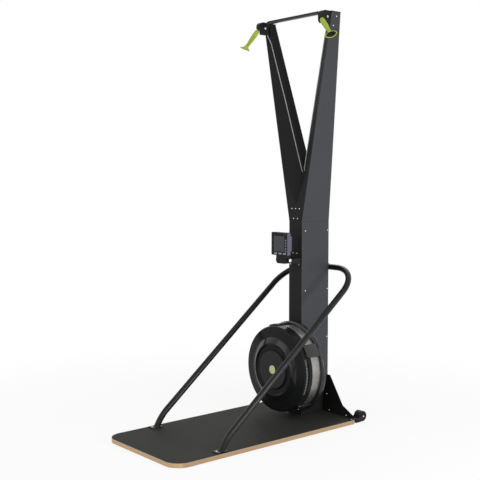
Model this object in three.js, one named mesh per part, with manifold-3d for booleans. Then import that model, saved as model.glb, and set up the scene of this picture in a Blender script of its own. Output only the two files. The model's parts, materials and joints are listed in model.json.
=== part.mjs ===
import * as THREE from 'three';
import { mergeVertices } from 'three/addons/utils/BufferGeometryUtils.js';
import Module from 'manifold-3d';

const wasm = await Module();
wasm.setup();

// All lengths are in millimetres. X is to the right of the person who uses the machine,
// Y runs from the front edge of the deck towards the column, and Z is up.

// Clearances shared by all pieces
const fit = 0.3;
const overrun = 6;
const sheet = 2.5;

// Deck board and its laminate
const deckWidth = 597;
const deckLength = 1180;
const boardThickness = 21;
const laminateThickness = 1.5;
const deckFrontRadius = 80;
const deckRearRadius = 14;
const deckTop = boardThickness + fit + laminateThickness;
const seatZ = deckTop + fit;

// Column
const columnWidth = 100;
const columnDepth = 203;
const columnInset = 164;
const columnFrontY = deckLength - columnInset;
const columnRearY = columnFrontY + columnDepth;
const columnHalf = columnWidth / 2;
const seamZ = 1075;
const sidePanel = 2.8;
const innerHalf = columnHalf - sidePanel - fit;
const flangeDepth = 26;
const frontSheetTopZ = 1160;

// Arms of the Y
const armTopZ = 2153;
const armTopHalf = 261;
const armTopDepth = 63;
const armTopRearY = columnFrontY + armTopDepth;
const creaseTopInset = 31;
const creaseTopX = armTopHalf - creaseTopInset;
const creaseTopRecess = 8;
const crotchZ = 1352;
const crotchRecess = 64;
const armInnerDepth = 50;
const cordHoleX = 9;
const cordHoleRadius = 6.5;
const armSlopeShare = (armTopHalf - columnHalf) / (armTopZ - seamZ);
const armRearShare = (columnRearY - armTopRearY) / (armTopZ - seamZ);

// Handrail hoop
const railRadius = 16;
const railHalfSpan = 268;
const railFootY = 288;
const railKneeReach = 31;
const railKneeY = railFootY + railKneeReach;
const railKneeZ = 77.5;
const railCrossZ = 818;
const railBend = 170;
const railKneeBend = 45;
const railCrossY = columnRearY + railRadius + fit;
const footPlateLength = 64;
const footPlateWidth = 46;
const footPlateThickness = 4;
const footPlateRear = 24;
const clampThickness = 4;
const clampWidth = 58;
const clampFlange = 24;

// Rear plate, transport wheels and their brackets
const rearPlateThickness = 4;
const rearPlateFrontY = deckLength + fit;
const rearPlateRearY = rearPlateFrontY + rearPlateThickness;
const rearPlateTopX = 104;
const rearPlateTopZ = 230;
const rearPlateKinkX = 200;
const rearPlateKinkZ = 80;
const rearPlateTipX = 286;
const rearPlateTipZ = 33;
const groundGap = 3;
const wheelRadius = 27.5;
const wheelWidth = 42;
const wheelSetback = 58.2;
const wheelLift = 1.5;
const wheelAxisY = rearPlateRearY + wheelSetback;
const wheelAxisZ = wheelRadius + wheelLift;
const wheelAxleRadius = 5;
const wheelHubRadius = 12;
const wheelHubRecess = 4;
const bracketSheet = 4;
const bracketNose = 15;
const bracketNoseLow = THREE.MathUtils.degToRad(-65);
const bracketNoseHigh = THREE.MathUtils.degToRad(126);
const bracketHeelReach = 37;
const bracketBandReach = 28;
const bracketFlangeLength = 46;
const bracketFlangeWidth = 12;

// Flywheel, its housing and its shaft
const flywheelZ = 288.8;
const coverReach = 166;
const coverFaceY = columnFrontY - coverReach;
const coverDiscRadius = 104;
const coverChannelDepth = 9;
const coverChannelRadius = 134;
const coverRingRise = 12;
const coverRingY = coverFaceY - coverRingRise;
const coverRingRadius = 160;
const coverSlopeRadius = 173;
const coverAnnulusStep = 19;
const coverAnnulusY = coverFaceY + coverAnnulusStep;
const coverRadius = 230;
const coverEdge = 6;
const coverDepth = 75;
const coverRearY = coverFaceY + coverDepth;
const coverWall = 3;
const meshInnerRadius = 224.5;
const meshThickness = 2;
const meshDepth = 60;
const meshRearY = coverRearY + meshDepth;
const rearFlangeRadius = 245;
const rearFlangeChamfer = 8;
const rearHousingDepth = 21;
const rearWallY = meshRearY + rearHousingDepth;
const rearDiscStep = 4;
const rearDiscY = rearWallY + rearDiscStep;
const rearBossRadius = 62;
const rearHoleRadius = 22;
const bridgeDegs = [31, 103, 175, 236, 304];
const bridgeHalfDeg = 8.5;
const bridgeThickness = 9;
const bridgeOverlap = 27;
const bridgeFrontY = coverRearY - bridgeOverlap;
const badgeRadius = 23;
const badgeThickness = 1.6;
const shaftRadius = 8.2;
const shaftBore = shaftRadius + fit;
const fanHubRadius = 26;
const fanRadius = 204;
const fanPlateThickness = 3;
const fanSetback = 53;
const fanDepth = 78;
const fanFrontY = coverFaceY + fanSetback;
const fanRearY = fanFrontY + fanDepth;
const fanBladeCount = 18;
const fanBladeThickness = 3;
const fanBladeFootRadius = 70;
const damperRadius = 225.5;
const damperThickness = 2;
const damperSetback = 34;
const damperDepth = 33;
const damperFrontY = coverFaceY + damperSetback;
const damperRearY = damperFrontY + damperDepth;
const damperRestDeg = 12;
const damperSweepDeg = 34;
const leverHalfDeg = 1.7;
const leverThickness = 8;
const leverReach = 17;
const leverSetback = 13;
const leverY = damperFrontY + leverSetback;

// Shaft bearings, cord spools and the return cord in the foot of the column
const bearingRadius = 18;
const bearingWidth = 10;
const bearingBlockHalf = 40;
const bearingBlockHeight = 96;
const bearingWeb = 6;
const spoolWidth = 50;
const spoolRadius = 27;
const spoolFlangeRadius = 36;
const spoolFlange = 3;
const spoolHubRadius = 14;
const spoolHubWidth = 16;
const frontBearingY = columnFrontY + sheet + fit;
const spoolFrontY = frontBearingY + bearingWidth + fit;
const spoolMiddleY = spoolFrontY + spoolWidth + fit;
const rearBearingY = spoolMiddleY + spoolWidth + 2 * fit;
const returnCordRadius = 3;
const returnPulleyZ = 960;
const returnPulleyWidth = 12;
const returnGroove = 4;
const returnPinRadius = 5;

// Pulley housings, pulleys and crossbar on the tops of the arms
const housingInset = 38;
const housingInnerX = armTopHalf - housingInset;
const housingWidth = 30;
const housingWall = 4;
const housingRise = 3;
const housingTopZ = armTopZ + housingRise;
const housingHeight = 64;
const housingBottomZ = housingTopZ - housingHeight;
const noseReach = 63;
const noseFrontY = columnFrontY - noseReach;
const noseHeight = 35;
const noseBottomZ = housingTopZ - noseHeight;
const throatReach = 42;
const throatY = columnFrontY - throatReach;
const throatHeight = 43;
const throatZ = housingTopZ - throatHeight;
const noseRadius = 24;
const pulleyX = housingInnerX + housingWidth / 2;
const pulleyReach = 25;
const pulleyY = columnFrontY - pulleyReach;
const pulleyDrop = 32;
const pulleyZ = housingTopZ - pulleyDrop;
const pulleyRadius = 23;
const pulleyGroove = 4.8;
const pulleyWidth = 14;
const pulleyPinRadius = 4;
const pinHead = 8;
const pinHeadThickness = 3;
const capOverhang = 1;
const crossbarReach = 21;
const crossbarY = columnFrontY - crossbarReach;
const crossbarHeight = 16;
const crossbarDepth = 20;
const crossbarRise = 3;
const crossbarTopZ = housingTopZ + crossbarRise;
const crossbarDrop = 11;
const crossbarSweep = 38;
const crossbarCorner = 4;

// Cords and handles
const cordRadius = 2.5;
const cordPlay = 0.7;
const cordStraight = 2;
const cordEndShare = 0.3;
const cordWrapRadius = pulleyRadius - pulleyGroove + cordRadius + cordPlay;
const handleOffset = 9;
const handleReach = 35;
const handleDrop = 16;
const handleTopX = pulleyX + handleOffset;
const handleTopY = pulleyY - handleReach;
const handleTopZ = pulleyZ - handleDrop;
const handleSpread = 85;
const handleLean = 17;
const handleHeight = 88;
const handleBaseX = handleTopX + handleSpread;
const handleBaseY = handleTopY - handleLean;
const handleBaseZ = handleTopZ - handleHeight;
const handleLipRadius = 30;
const handleGripRadius = 14.5;
const handleWall = 3;
const handleNeckShare = 0.7;
const handleOvalShare = 0.78;
const handleSlantShare = 0.33;

// Monitor, its bracket and its knob
const monitorReach = 119;
const monitorFaceY = columnFrontY - monitorReach;
const monitorWidth = 123;
const monitorHeight = 122;
const monitorBottomZ = 898;
const monitorDepth = 24;
const monitorCorner = 7;
const humpWidth = 92;
const humpHeight = 84;
const humpDepth = 24;
const screenLeftX = -45;
const screenWidth = 85;
const screenHeight = 83;
const screenLiftZ = 20;
const screenRecess = 2.5;
const screenThickness = 1.6;
const sideButtonCount = 5;
const sideButtonX = 50.5;
const sideButtonWidth = 11;
const sideButtonHeight = 9;
const sideButtonPitch = 14.4;
const sideButtonTop = 41;
const menuButtonCount = 3;
const menuButtonLeftX = -28;
const menuButtonPitch = 34.5;
const menuButtonWidth = 22;
const menuButtonHeight = 8;
const menuButtonLift = 9.5;
const buttonPocket = 4;
const buttonThickness = 3.6;
const buttonStand = 1.4;
const pivotSetback = 28;
const pivotDrop = 26;
const pivotY = monitorFaceY + pivotSetback;
const pivotZ = monitorBottomZ - pivotDrop;
const pivotRadius = 4;
const cradleHalf = 38;
const cradleDepth = 30;
const cradleDrop = 19;
const cradleBottomZ = pivotZ - cradleDrop;
const cradleCorner = 14;
const earThickness = 4;
const earRadius = 14;
const earDrop = 24;
const earBottomZ = pivotZ - earDrop;
const bracketPlateHalf = 43;
const bracketPlateRise = 40;
const bracketPlateDrop = 36;
const bracketPlateTopZ = pivotZ + bracketPlateRise;
const bracketPlateBottomZ = pivotZ - bracketPlateDrop;
const bracketPlateThickness = 4;
const knobRadius = 10;
const knobThickness = 13;
const knobShankRadius = 6;
const knobShankThickness = 3;

// The machine's centre line along Y, measured from the deck's front edge
const overallLength = wheelAxisY + wheelRadius;

// Turned pieces have this many sides
const roundSides = 16;
const housingSides = 36;

// Finishes
const finish = (color, roughness, metalness) => new THREE.MeshStandardMaterial({ color, roughness, metalness });
const finishes = {
  plywood: finish(0xb98a58, 0.6, 0),
  laminate: finish(0x3a3936, 0.55, 0),
  slate: finish(0x46484c, 0.42, 0.3),
  black: finish(0x1c1c1e, 0.45, 0.3),
  plastic: finish(0x161718, 0.4, 0),
  mesh: finish(0x9b9a94, 0.35, 0.9),
  steel: finish(0xb9bcc0, 0.3, 1),
  rubber: finish(0x222224, 0.8, 0),
  cord: finish(0xb8b8b4, 0.7, 0),
  elastic: finish(0x202226, 0.8, 0),
  grip: finish(0xa3b83a, 0.5, 0),
  badge: finish(0xd9dfc4, 0.5, 0),
  screen: finish(0x4a5550, 0.25, 0),
  button: finish(0x4b4d55, 0.6, 0),
  knob: finish(0xe6e6e4, 0.4, 0),
};

// Joins shared corners, drops slivers and turns the faces of a closed mesh outwards
function closed(geometry) {
  const bare = new THREE.BufferGeometry();
  bare.setAttribute('position', geometry.getAttribute('position').clone());
  if (geometry.index) bare.setIndex(geometry.index.clone());
  const merged = mergeVertices(bare);
  const corners = merged.getAttribute('position');
  const [a, b, c] = [new THREE.Vector3(), new THREE.Vector3(), new THREE.Vector3()];
  const kept = [];
  let volume = 0;
  for (let i = 0; i < merged.index.count; i += 3) {
    const [p, q, r] = [0, 1, 2].map((k) => merged.index.getX(i + k));
    if (p === q || q === r || r === p) continue;
    kept.push([p, q, r]);
    a.fromBufferAttribute(corners, p);
    b.fromBufferAttribute(corners, q);
    c.fromBufferAttribute(corners, r);
    volume += a.dot(b.cross(c));
  }
  merged.setIndex(kept.flatMap(([p, q, r]) => (volume > 0 ? [p, q, r] : [p, r, q])));
  return merged;
}

function solidOf(geometry) {
  const body = closed(geometry);
  return new wasm.Manifold(new wasm.Mesh({
    numProp: 3,
    vertProperties: new Float32Array(body.getAttribute('position').array),
    triVerts: new Uint32Array(body.index.array),
  }));
}

function geometryOf(solid) {
  const mesh = solid.getMesh();
  const geometry = new THREE.BufferGeometry();
  geometry.setAttribute('position', new THREE.BufferAttribute(new Float32Array(mesh.vertProperties), 3));
  geometry.setIndex(new THREE.BufferAttribute(new Uint32Array(mesh.triVerts), 1));
  return geometry;
}

function join(first, ...others) {
  return geometryOf(others.reduce((sum, other) => sum.add(solidOf(other)), solidOf(first)));
}

function cut(first, ...others) {
  return geometryOf(others.reduce((rest, other) => rest.subtract(solidOf(other)), solidOf(first)));
}

const machine = new THREE.Group();
machine.position.y = -overallLength / 2;

function add(name, geometry, material, parent = machine) {
  const body = closed(geometry).toNonIndexed();
  body.computeVertexNormals();
  const mesh = new THREE.Mesh(body, material);
  mesh.name = name;
  parent.add(mesh);
  return mesh;
}

const mirrored = (geometry) => geometry.clone().scale(-1, 1, 1);

// Makes the right-hand piece and its mirror image
function addPair(name, geometry, material) {
  add(`${name}_right`, geometry, material);
  add(`${name}_left`, mirrored(geometry), material);
}

const outline = (points) => new THREE.Shape(points.map(([u, v]) => new THREE.Vector2(u, v)));

const extruded = (shape, depth, curveSegments = 6) =>
  new THREE.ExtrudeGeometry(shape, { depth, bevelEnabled: false, curveSegments });

const axesYZ = new THREE.Matrix4().makeBasis(
  new THREE.Vector3(0, 1, 0), new THREE.Vector3(0, 0, 1), new THREE.Vector3(1, 0, 0));

// Outlines drawn in the plane named by their two letters, and pushed along the third axis
const alongX = (shapeYZ, low, high) => extruded(shapeYZ, high - low).applyMatrix4(axesYZ).translate(low, 0, 0);
const alongY = (shapeXZ, low, high) => extruded(shapeXZ, high - low).rotateX(Math.PI / 2).translate(0, high, 0);
const alongZ = (shapeXY, low, high) => extruded(shapeXY, high - low).translate(0, 0, low);

function box([x0, x1], [y0, y1], [z0, z1]) {
  return new THREE.BoxGeometry(x1 - x0, y1 - y0, z1 - z0).translate((x0 + x1) / 2, (y0 + y1) / 2, (z0 + z1) / 2);
}

function rodX(radius, low, high, y, z, sides = roundSides) {
  const rod = new THREE.CylinderGeometry(radius, radius, high - low, sides).rotateZ(Math.PI / 2);
  return rod.translate((low + high) / 2, y, z);
}

function rodY(radius, low, high, x, z, sides = roundSides) {
  return new THREE.CylinderGeometry(radius, radius, high - low, sides).translate(x, (low + high) / 2, z);
}

// Turns a profile of [radius, place along Y] about the shaft line of the flywheel
function turnedY(profile, sides = roundSides) {
  const points = [...profile, profile[0]].map(([r, y]) => new THREE.Vector2(r, y));
  return new THREE.LatheGeometry(points, sides).translate(0, 0, flywheelZ);
}

// Turns a profile of [radius, place along X] about a line along X
function turnedX(profile, y, z, sides = roundSides) {
  const points = [...profile, profile[0]].map(([r, x]) => new THREE.Vector2(r, x));
  return new THREE.LatheGeometry(points, sides).rotateZ(-Math.PI / 2).translate(0, y, z);
}

// A stretch of ring about the flywheel's shaft line; angles rise from +X towards +Z
function ringSector(inner, outer, middleDeg, halfDeg, low, high) {
  const [from, to] = [middleDeg - halfDeg, middleDeg + halfDeg].map(THREE.MathUtils.degToRad);
  const shape = new THREE.Shape();
  shape.absarc(0, 0, outer, from, to, false);
  shape.absarc(0, 0, inner, to, from, true);
  return alongY(shape, low, high).translate(0, 0, flywheelZ);
}

function roundedRectangle(x0, x1, z0, z1, radius) {
  const shape = new THREE.Shape();
  shape.moveTo(x0 + radius, z0);
  shape.lineTo(x1 - radius, z0);
  shape.absarc(x1 - radius, z0 + radius, radius, -Math.PI / 2, 0, false);
  shape.absarc(x1 - radius, z1 - radius, radius, 0, Math.PI / 2, false);
  shape.absarc(x0 + radius, z1 - radius, radius, Math.PI / 2, Math.PI, false);
  shape.absarc(x0 + radius, z0 + radius, radius, Math.PI, 1.5 * Math.PI, false);
  return shape;
}

// A path straight from point to point, with a section square to the bend at each of them
class Route extends THREE.Curve {
  constructor(points) {
    super();
    this.points = points;
  }

  getPoint(t, target = new THREE.Vector3()) {
    const place = THREE.MathUtils.clamp(t, 0, 1) * (this.points.length - 1);
    const start = Math.min(Math.floor(place), this.points.length - 2);
    return target.lerpVectors(this.points[start], this.points[start + 1], place - start);
  }

  getPointAt(t, target) {
    return this.getPoint(t, target);
  }

  getSpacedPoints() {
    return this.points;
  }

  getTangentAt(t, target = new THREE.Vector3()) {
    const middle = Math.round(t * (this.points.length - 1));
    const before = this.points[Math.max(middle - 1, 0)];
    const here = this.points[middle];
    const after = this.points[Math.min(middle + 1, this.points.length - 1)];
    const [arriving, leaving] = [here.clone().sub(before).normalize(), after.clone().sub(here).normalize()];
    return target.addVectors(arriving, leaving).normalize();
  }
}

function pushedAlong(shape, points) {
  const path = new Route(points);
  return new THREE.ExtrudeGeometry(shape, { steps: points.length - 1, extrudePath: path, bevelEnabled: false });
}

function tube(points, radius, sides = 6) {
  const ring = [];
  for (let i = 0; i < sides; i += 1) {
    const angle = (i + 0.5) * 2 * Math.PI / sides;
    ring.push([radius * Math.cos(angle), radius * Math.sin(angle)]);
  }
  return pushedAlong(outline(ring), points);
}

// A closed body through sections with the same number of corners, each [x, y, z]. The second
// half of a section runs back along the first, so it folds along the opposite diagonals.
function loft(sections) {
  const count = sections[0].length;
  const positions = sections.flat(2);
  const index = [];
  for (let level = 0; level + 1 < sections.length; level += 1) {
    for (let i = 0; i < count; i += 1) {
      const next = (i + 1) % count;
      const [a, b] = [level * count + i, level * count + next];
      if (i < count / 2) index.push(a, b, a + count, b, b + count, a + count);
      else index.push(a, b, b + count, a, b + count, a + count);
    }
  }
  const capFaces = (section) => {
    const corners = section.map(([x, y]) => new THREE.Vector2(x, y));
    const faces = THREE.ShapeUtils.triangulateShape(corners, []);
    const sameTurn = THREE.ShapeUtils.area(faces[0].map((i) => corners[i])) * THREE.ShapeUtils.area(corners) > 0;
    return sameTurn ? faces : faces.map(([a, b, c]) => [c, b, a]);
  };
  const last = (sections.length - 1) * count;
  for (const [a, b, c] of capFaces(sections[0])) index.push(c, b, a);
  for (const [a, b, c] of capFaces(sections[sections.length - 1])) index.push(last + a, last + b, last + c);
  const geometry = new THREE.BufferGeometry();
  geometry.setAttribute('position', new THREE.Float32BufferAttribute(positions, 3));
  geometry.setIndex(index);
  return geometry;
}

function buildDeck() {
  const half = deckWidth / 2;
  const shape = new THREE.Shape();
  const quarter = Math.PI / 2;
  shape.moveTo(-half + deckFrontRadius, 0);
  shape.absarc(half - deckFrontRadius, deckFrontRadius, deckFrontRadius, -quarter, 0, false);
  shape.absarc(half - deckRearRadius, deckLength - deckRearRadius, deckRearRadius, 0, quarter, false);
  shape.absarc(-half + deckRearRadius, deckLength - deckRearRadius, deckRearRadius, quarter, 2 * quarter, false);
  shape.absarc(-half + deckFrontRadius, deckFrontRadius, deckFrontRadius, 2 * quarter, 3 * quarter, false);
  add('deck_board', extruded(shape, boardThickness, 8), finishes.plywood);
  add('deck_surface', extruded(shape, laminateThickness, 8).translate(0, 0, boardThickness + fit),
    finishes.laminate);
}

// The hoop rises from both sides of the deck and bends round behind the column
function buildHandrail() {
  const point = (x, y, z) => new THREE.Vector3(x, y, z);
  const legDirection = point(0, railCrossY - railKneeY, railCrossZ - railKneeZ).normalize();
  const footDirection = point(0, railKneeY - railFootY, railKneeZ - seatZ).normalize();
  const rounding = 4 * (Math.SQRT2 - 1) / 3;
  const halfPath = (side) => {
    const foot = point(side * railHalfSpan, railFootY, seatZ).addScaledVector(footDirection, -railRadius);
    const knee = point(side * railHalfSpan, railKneeY, railKneeZ);
    const kneeLow = knee.clone().addScaledVector(footDirection, -railKneeBend);
    const kneeHigh = knee.clone().addScaledVector(legDirection, railKneeBend);
    const corner = point(side * railHalfSpan, railCrossY, railCrossZ);
    const bendLow = corner.clone().addScaledVector(legDirection, -railBend);
    const bendHigh = corner.clone().setX(side * (railHalfSpan - railBend));
    const lowPull = bendLow.clone().lerp(corner, rounding);
    const highPull = bendHigh.clone().lerp(corner, rounding);
    return [
      foot,
      ...new THREE.QuadraticBezierCurve3(kneeLow, knee, kneeHigh).getPoints(4),
      ...new THREE.CubicBezierCurve3(bendLow, lowPull, highPull, bendHigh).getPoints(11),
    ];
  };
  const hoop = tube([...halfPath(1), ...halfPath(-1).reverse()], railRadius, 10);
  const plates = [1, -1].map((side) => {
    const middle = side * railHalfSpan;
    const shape = roundedRectangle(middle - footPlateWidth / 2, middle + footPlateWidth / 2,
      railFootY + footPlateRear - footPlateLength, railFootY + footPlateRear, footPlateThickness);
    return alongZ(shape, seatZ, seatZ + footPlateThickness);
  });
  const below = box([-deckWidth, deckWidth], [0, deckLength], [seatZ - 4 * railRadius, seatZ]);
  add('handrail', cut(join(hoop, ...plates), below), finishes.black);
  buildRailClamp();
}

// A saddle that holds the hoop against the back of the column
function buildRailClamp() {
  const inner = railRadius + fit;
  const outer = inner + clampThickness;
  const wallY = columnRearY + fit;
  const shape = new THREE.Shape();
  shape.moveTo(wallY, railCrossZ - outer - clampFlange);
  shape.lineTo(wallY + clampThickness, railCrossZ - outer - clampFlange);
  shape.lineTo(wallY + clampThickness, railCrossZ - outer);
  shape.absarc(railCrossY, railCrossZ, outer, -Math.PI / 2, Math.PI / 2, false);
  shape.lineTo(wallY + clampThickness, railCrossZ + outer);
  shape.lineTo(wallY + clampThickness, railCrossZ + outer + clampFlange);
  shape.lineTo(wallY, railCrossZ + outer + clampFlange);
  shape.lineTo(wallY, railCrossZ + inner);
  shape.absarc(railCrossY, railCrossZ, inner, Math.PI / 2, -Math.PI / 2, true);
  shape.lineTo(wallY, railCrossZ - inner);
  add('rail_clamp', alongX(shape, -clampWidth / 2, clampWidth / 2), finishes.black);
}

// The plate behind the deck has a notch that the column stands in
function buildRearPlate() {
  const half = [
    [columnHalf + fit, deckTop], [columnHalf + fit, rearPlateTopZ], [rearPlateTopX, rearPlateTopZ],
    [rearPlateKinkX, rearPlateKinkZ], [rearPlateTipX, rearPlateTipZ], [rearPlateTipX, groundGap],
  ];
  const other = half.map(([x, z]) => [-x, z]).reverse();
  add('rear_plate', alongY(outline([...half, ...other]), rearPlateFrontY, rearPlateRearY), finishes.black);
}

// Each transport wheel turns in a fork behind a rear corner of the deck
function buildTransportWheels() {
  const outerX = deckWidth / 2;
  const innerX = outerX - 2 * bracketSheet - 2 * fit - wheelWidth;
  const webY = rearPlateRearY + fit;
  const topZ = seatZ + bracketSheet;
  const shape = new THREE.Shape();
  shape.moveTo(webY, groundGap);
  shape.lineTo(webY + bracketHeelReach, groundGap);
  shape.absarc(wheelAxisY, wheelAxisZ, bracketNose, bracketNoseLow, bracketNoseHigh, false);
  shape.lineTo(webY + bracketBandReach, topZ);
  shape.lineTo(webY, topZ);
  const cheeks = [[outerX - bracketSheet, outerX], [innerX, innerX + bracketSheet]];
  const plates = cheeks.map(([low, high]) => alongX(shape, low, high));
  const web = box([innerX, outerX], [webY, webY + bracketSheet], [groundGap, topZ]);
  const flange = box([outerX - bracketFlangeWidth, outerX], [webY - bracketFlangeLength, webY + bracketSheet],
    [seatZ, seatZ + bracketSheet]);
  const bore = rodX(wheelAxleRadius + fit, innerX - overrun, outerX + overrun, wheelAxisY, wheelAxisZ);
  addPair('wheel_bracket', cut(join(...plates, web, flange), bore), finishes.black);
  const left = innerX + bracketSheet + fit;
  const right = left + wheelWidth;
  const rim = wheelRadius - wheelHubRecess;
  const profile = [
    [wheelAxleRadius + fit, left], [wheelHubRadius, left], [wheelHubRadius, left + wheelHubRecess],
    [rim, left + wheelHubRecess], [rim, left], [wheelRadius - sheet, left], [wheelRadius, left + sheet],
    [wheelRadius, right - sheet], [wheelRadius - sheet, right], [rim, right],
    [rim, right - wheelHubRecess], [wheelHubRadius, right - wheelHubRecess], [wheelHubRadius, right],
    [wheelAxleRadius + fit, right],
  ];
  addPair('wheel', turnedX(profile, wheelAxisY, wheelAxisZ), finishes.rubber);
  addPair('wheel_axle', rodX(wheelAxleRadius, innerX, outerX, wheelAxisY, wheelAxisZ, 16), finishes.steel);
}

// The two folded sheets of the column, closed by a panel on each side
function buildColumn() {
  const foldX = innerHalf - sheet;
  const fold = (y0, y1) => [1, -1].map((side) => {
    const edges = [side * foldX, side * innerHalf].sort((p, q) => p - q);
    return box(edges, [y0, y1], [seatZ, seamZ - fit]);
  });
  const flare = (frontSheetTopZ - fit - seamZ) * armSlopeShare;
  const face = outline([
    [-innerHalf, seatZ], [innerHalf, seatZ], [innerHalf, seamZ], [innerHalf + flare, frontSheetTopZ - fit],
    [-innerHalf - flare, frontSheetTopZ - fit], [-innerHalf, seamZ],
  ]);
  const web = alongY(face, columnFrontY, columnFrontY + sheet);
  const shaftHole = rodY(rearHoleRadius, columnFrontY - overrun, columnFrontY + sheet + overrun, 0, flywheelZ);
  add('column_front', cut(join(web, ...fold(columnFrontY, columnFrontY + flangeDepth)), shaftHole),
    finishes.black);
  const back = box([-innerHalf, innerHalf], [columnRearY - sheet, columnRearY], [seatZ, seamZ - fit]);
  add('column_rear', join(back, ...fold(columnRearY - flangeDepth, columnRearY)), finishes.black);
  addPair('side_panel', box([columnHalf - sidePanel, columnHalf], [columnFrontY, columnRearY],
    [seatZ, seamZ - fit]), finishes.slate);
}

// The arm's corners in plan at a height: front outer, crease, rear inner and rear outer
function armCorners(z) {
  const outerX = columnHalf + (z - seamZ) * armSlopeShare - sidePanel - fit;
  const rearY = columnRearY - (z - seamZ) * armRearShare;
  const frontY = z < frontSheetTopZ ? columnFrontY + sheet + fit : columnFrontY;
  const rise = (z - crotchZ) / (armTopZ - crotchZ);
  const below = THREE.MathUtils.clamp((z - frontSheetTopZ) / (crotchZ - frontSheetTopZ), 0, 1);
  const creaseX = rise > 0 ? fit / 2 + rise * creaseTopX : fit / 2;
  const recess = rise > 0 ? crotchRecess + rise * (creaseTopRecess - crotchRecess) : below * crotchRecess;
  const creaseY = Math.max(frontY, columnFrontY + recess);
  const depthBelow = columnDepth - sheet;
  const fall = (z - seamZ) / (crotchZ - seamZ);
  const innerRearY = rise > 0 ? creaseY + armInnerDepth
    : columnFrontY + depthBelow + fall * (crotchRecess + armInnerDepth - depthBelow);
  return [[outerX, frontY], [creaseX, creaseY], [creaseX, innerRearY], [outerX, rearY]];
}

// Moves a bent line sideways by the sheet's thickness, keeping its ends on their own X
function insideLine(corners, thickness) {
  const sides = corners.slice(1).map(([x, y], i) => {
    const [dx, dy] = [x - corners[i][0], y - corners[i][1]];
    const length = Math.hypot(dx, dy);
    return { dx: dx / length, dy: dy / length };
  });
  const moved = ([x, y], { dx, dy }) => [x - dy * thickness * inward, y + dx * thickness * inward];
  return corners.map((corner, i) => {
    const before = sides[Math.max(i - 1, 0)];
    const after = sides[Math.min(i, sides.length - 1)];
    const [ax, ay] = moved(corner, before);
    const turn = before.dx * after.dy - before.dy * after.dx;
    if (i === 0 || i === corners.length - 1) {
      return [corner[0], ay + (corner[0] - ax) * before.dy / before.dx];
    }
    const [bx, by] = moved(corner, after);
    const run = ((bx - ax) * after.dy - (by - ay) * after.dx) / turn;
    return [ax + run * before.dx, ay + run * before.dy];
  });
}

// The corners run from the outer edge inwards, so the inside of the channel is on their left
const inward = -1;

function buildArms() {
  const heights = [seamZ, frontSheetTopZ - fit, frontSheetTopZ, crotchZ, (crotchZ + armTopZ) / 2, armTopZ];
  const sections = heights.map((z) => {
    const corners = armCorners(z);
    return [...corners, ...insideLine(corners, sheet).reverse()].map(([x, y]) => [x, y, z]);
  });
  const channel = loft(sections);
  const hole = new THREE.CylinderGeometry(cordHoleRadius, cordHoleRadius, 8 * cordHoleRadius, 12);
  hole.rotateX(-Math.PI / 3);
  hole.translate(cordHoleX, columnFrontY + crotchRecess - cordHoleRadius, crotchZ - cordHoleRadius);
  addPair('arm_channel', cut(channel, hole), finishes.black);
  const panel = [seamZ, armTopZ].map((z) => {
    const outerX = columnHalf + (z - seamZ) * armSlopeShare;
    const rearY = columnRearY - (z - seamZ) * armRearShare;
    const innerX = outerX - sidePanel;
    return [[innerX, columnFrontY, z], [outerX, columnFrontY, z], [outerX, rearY, z], [innerX, rearY, z]];
  });
  addPair('arm_panel', loft(panel), finishes.slate);
}

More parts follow.
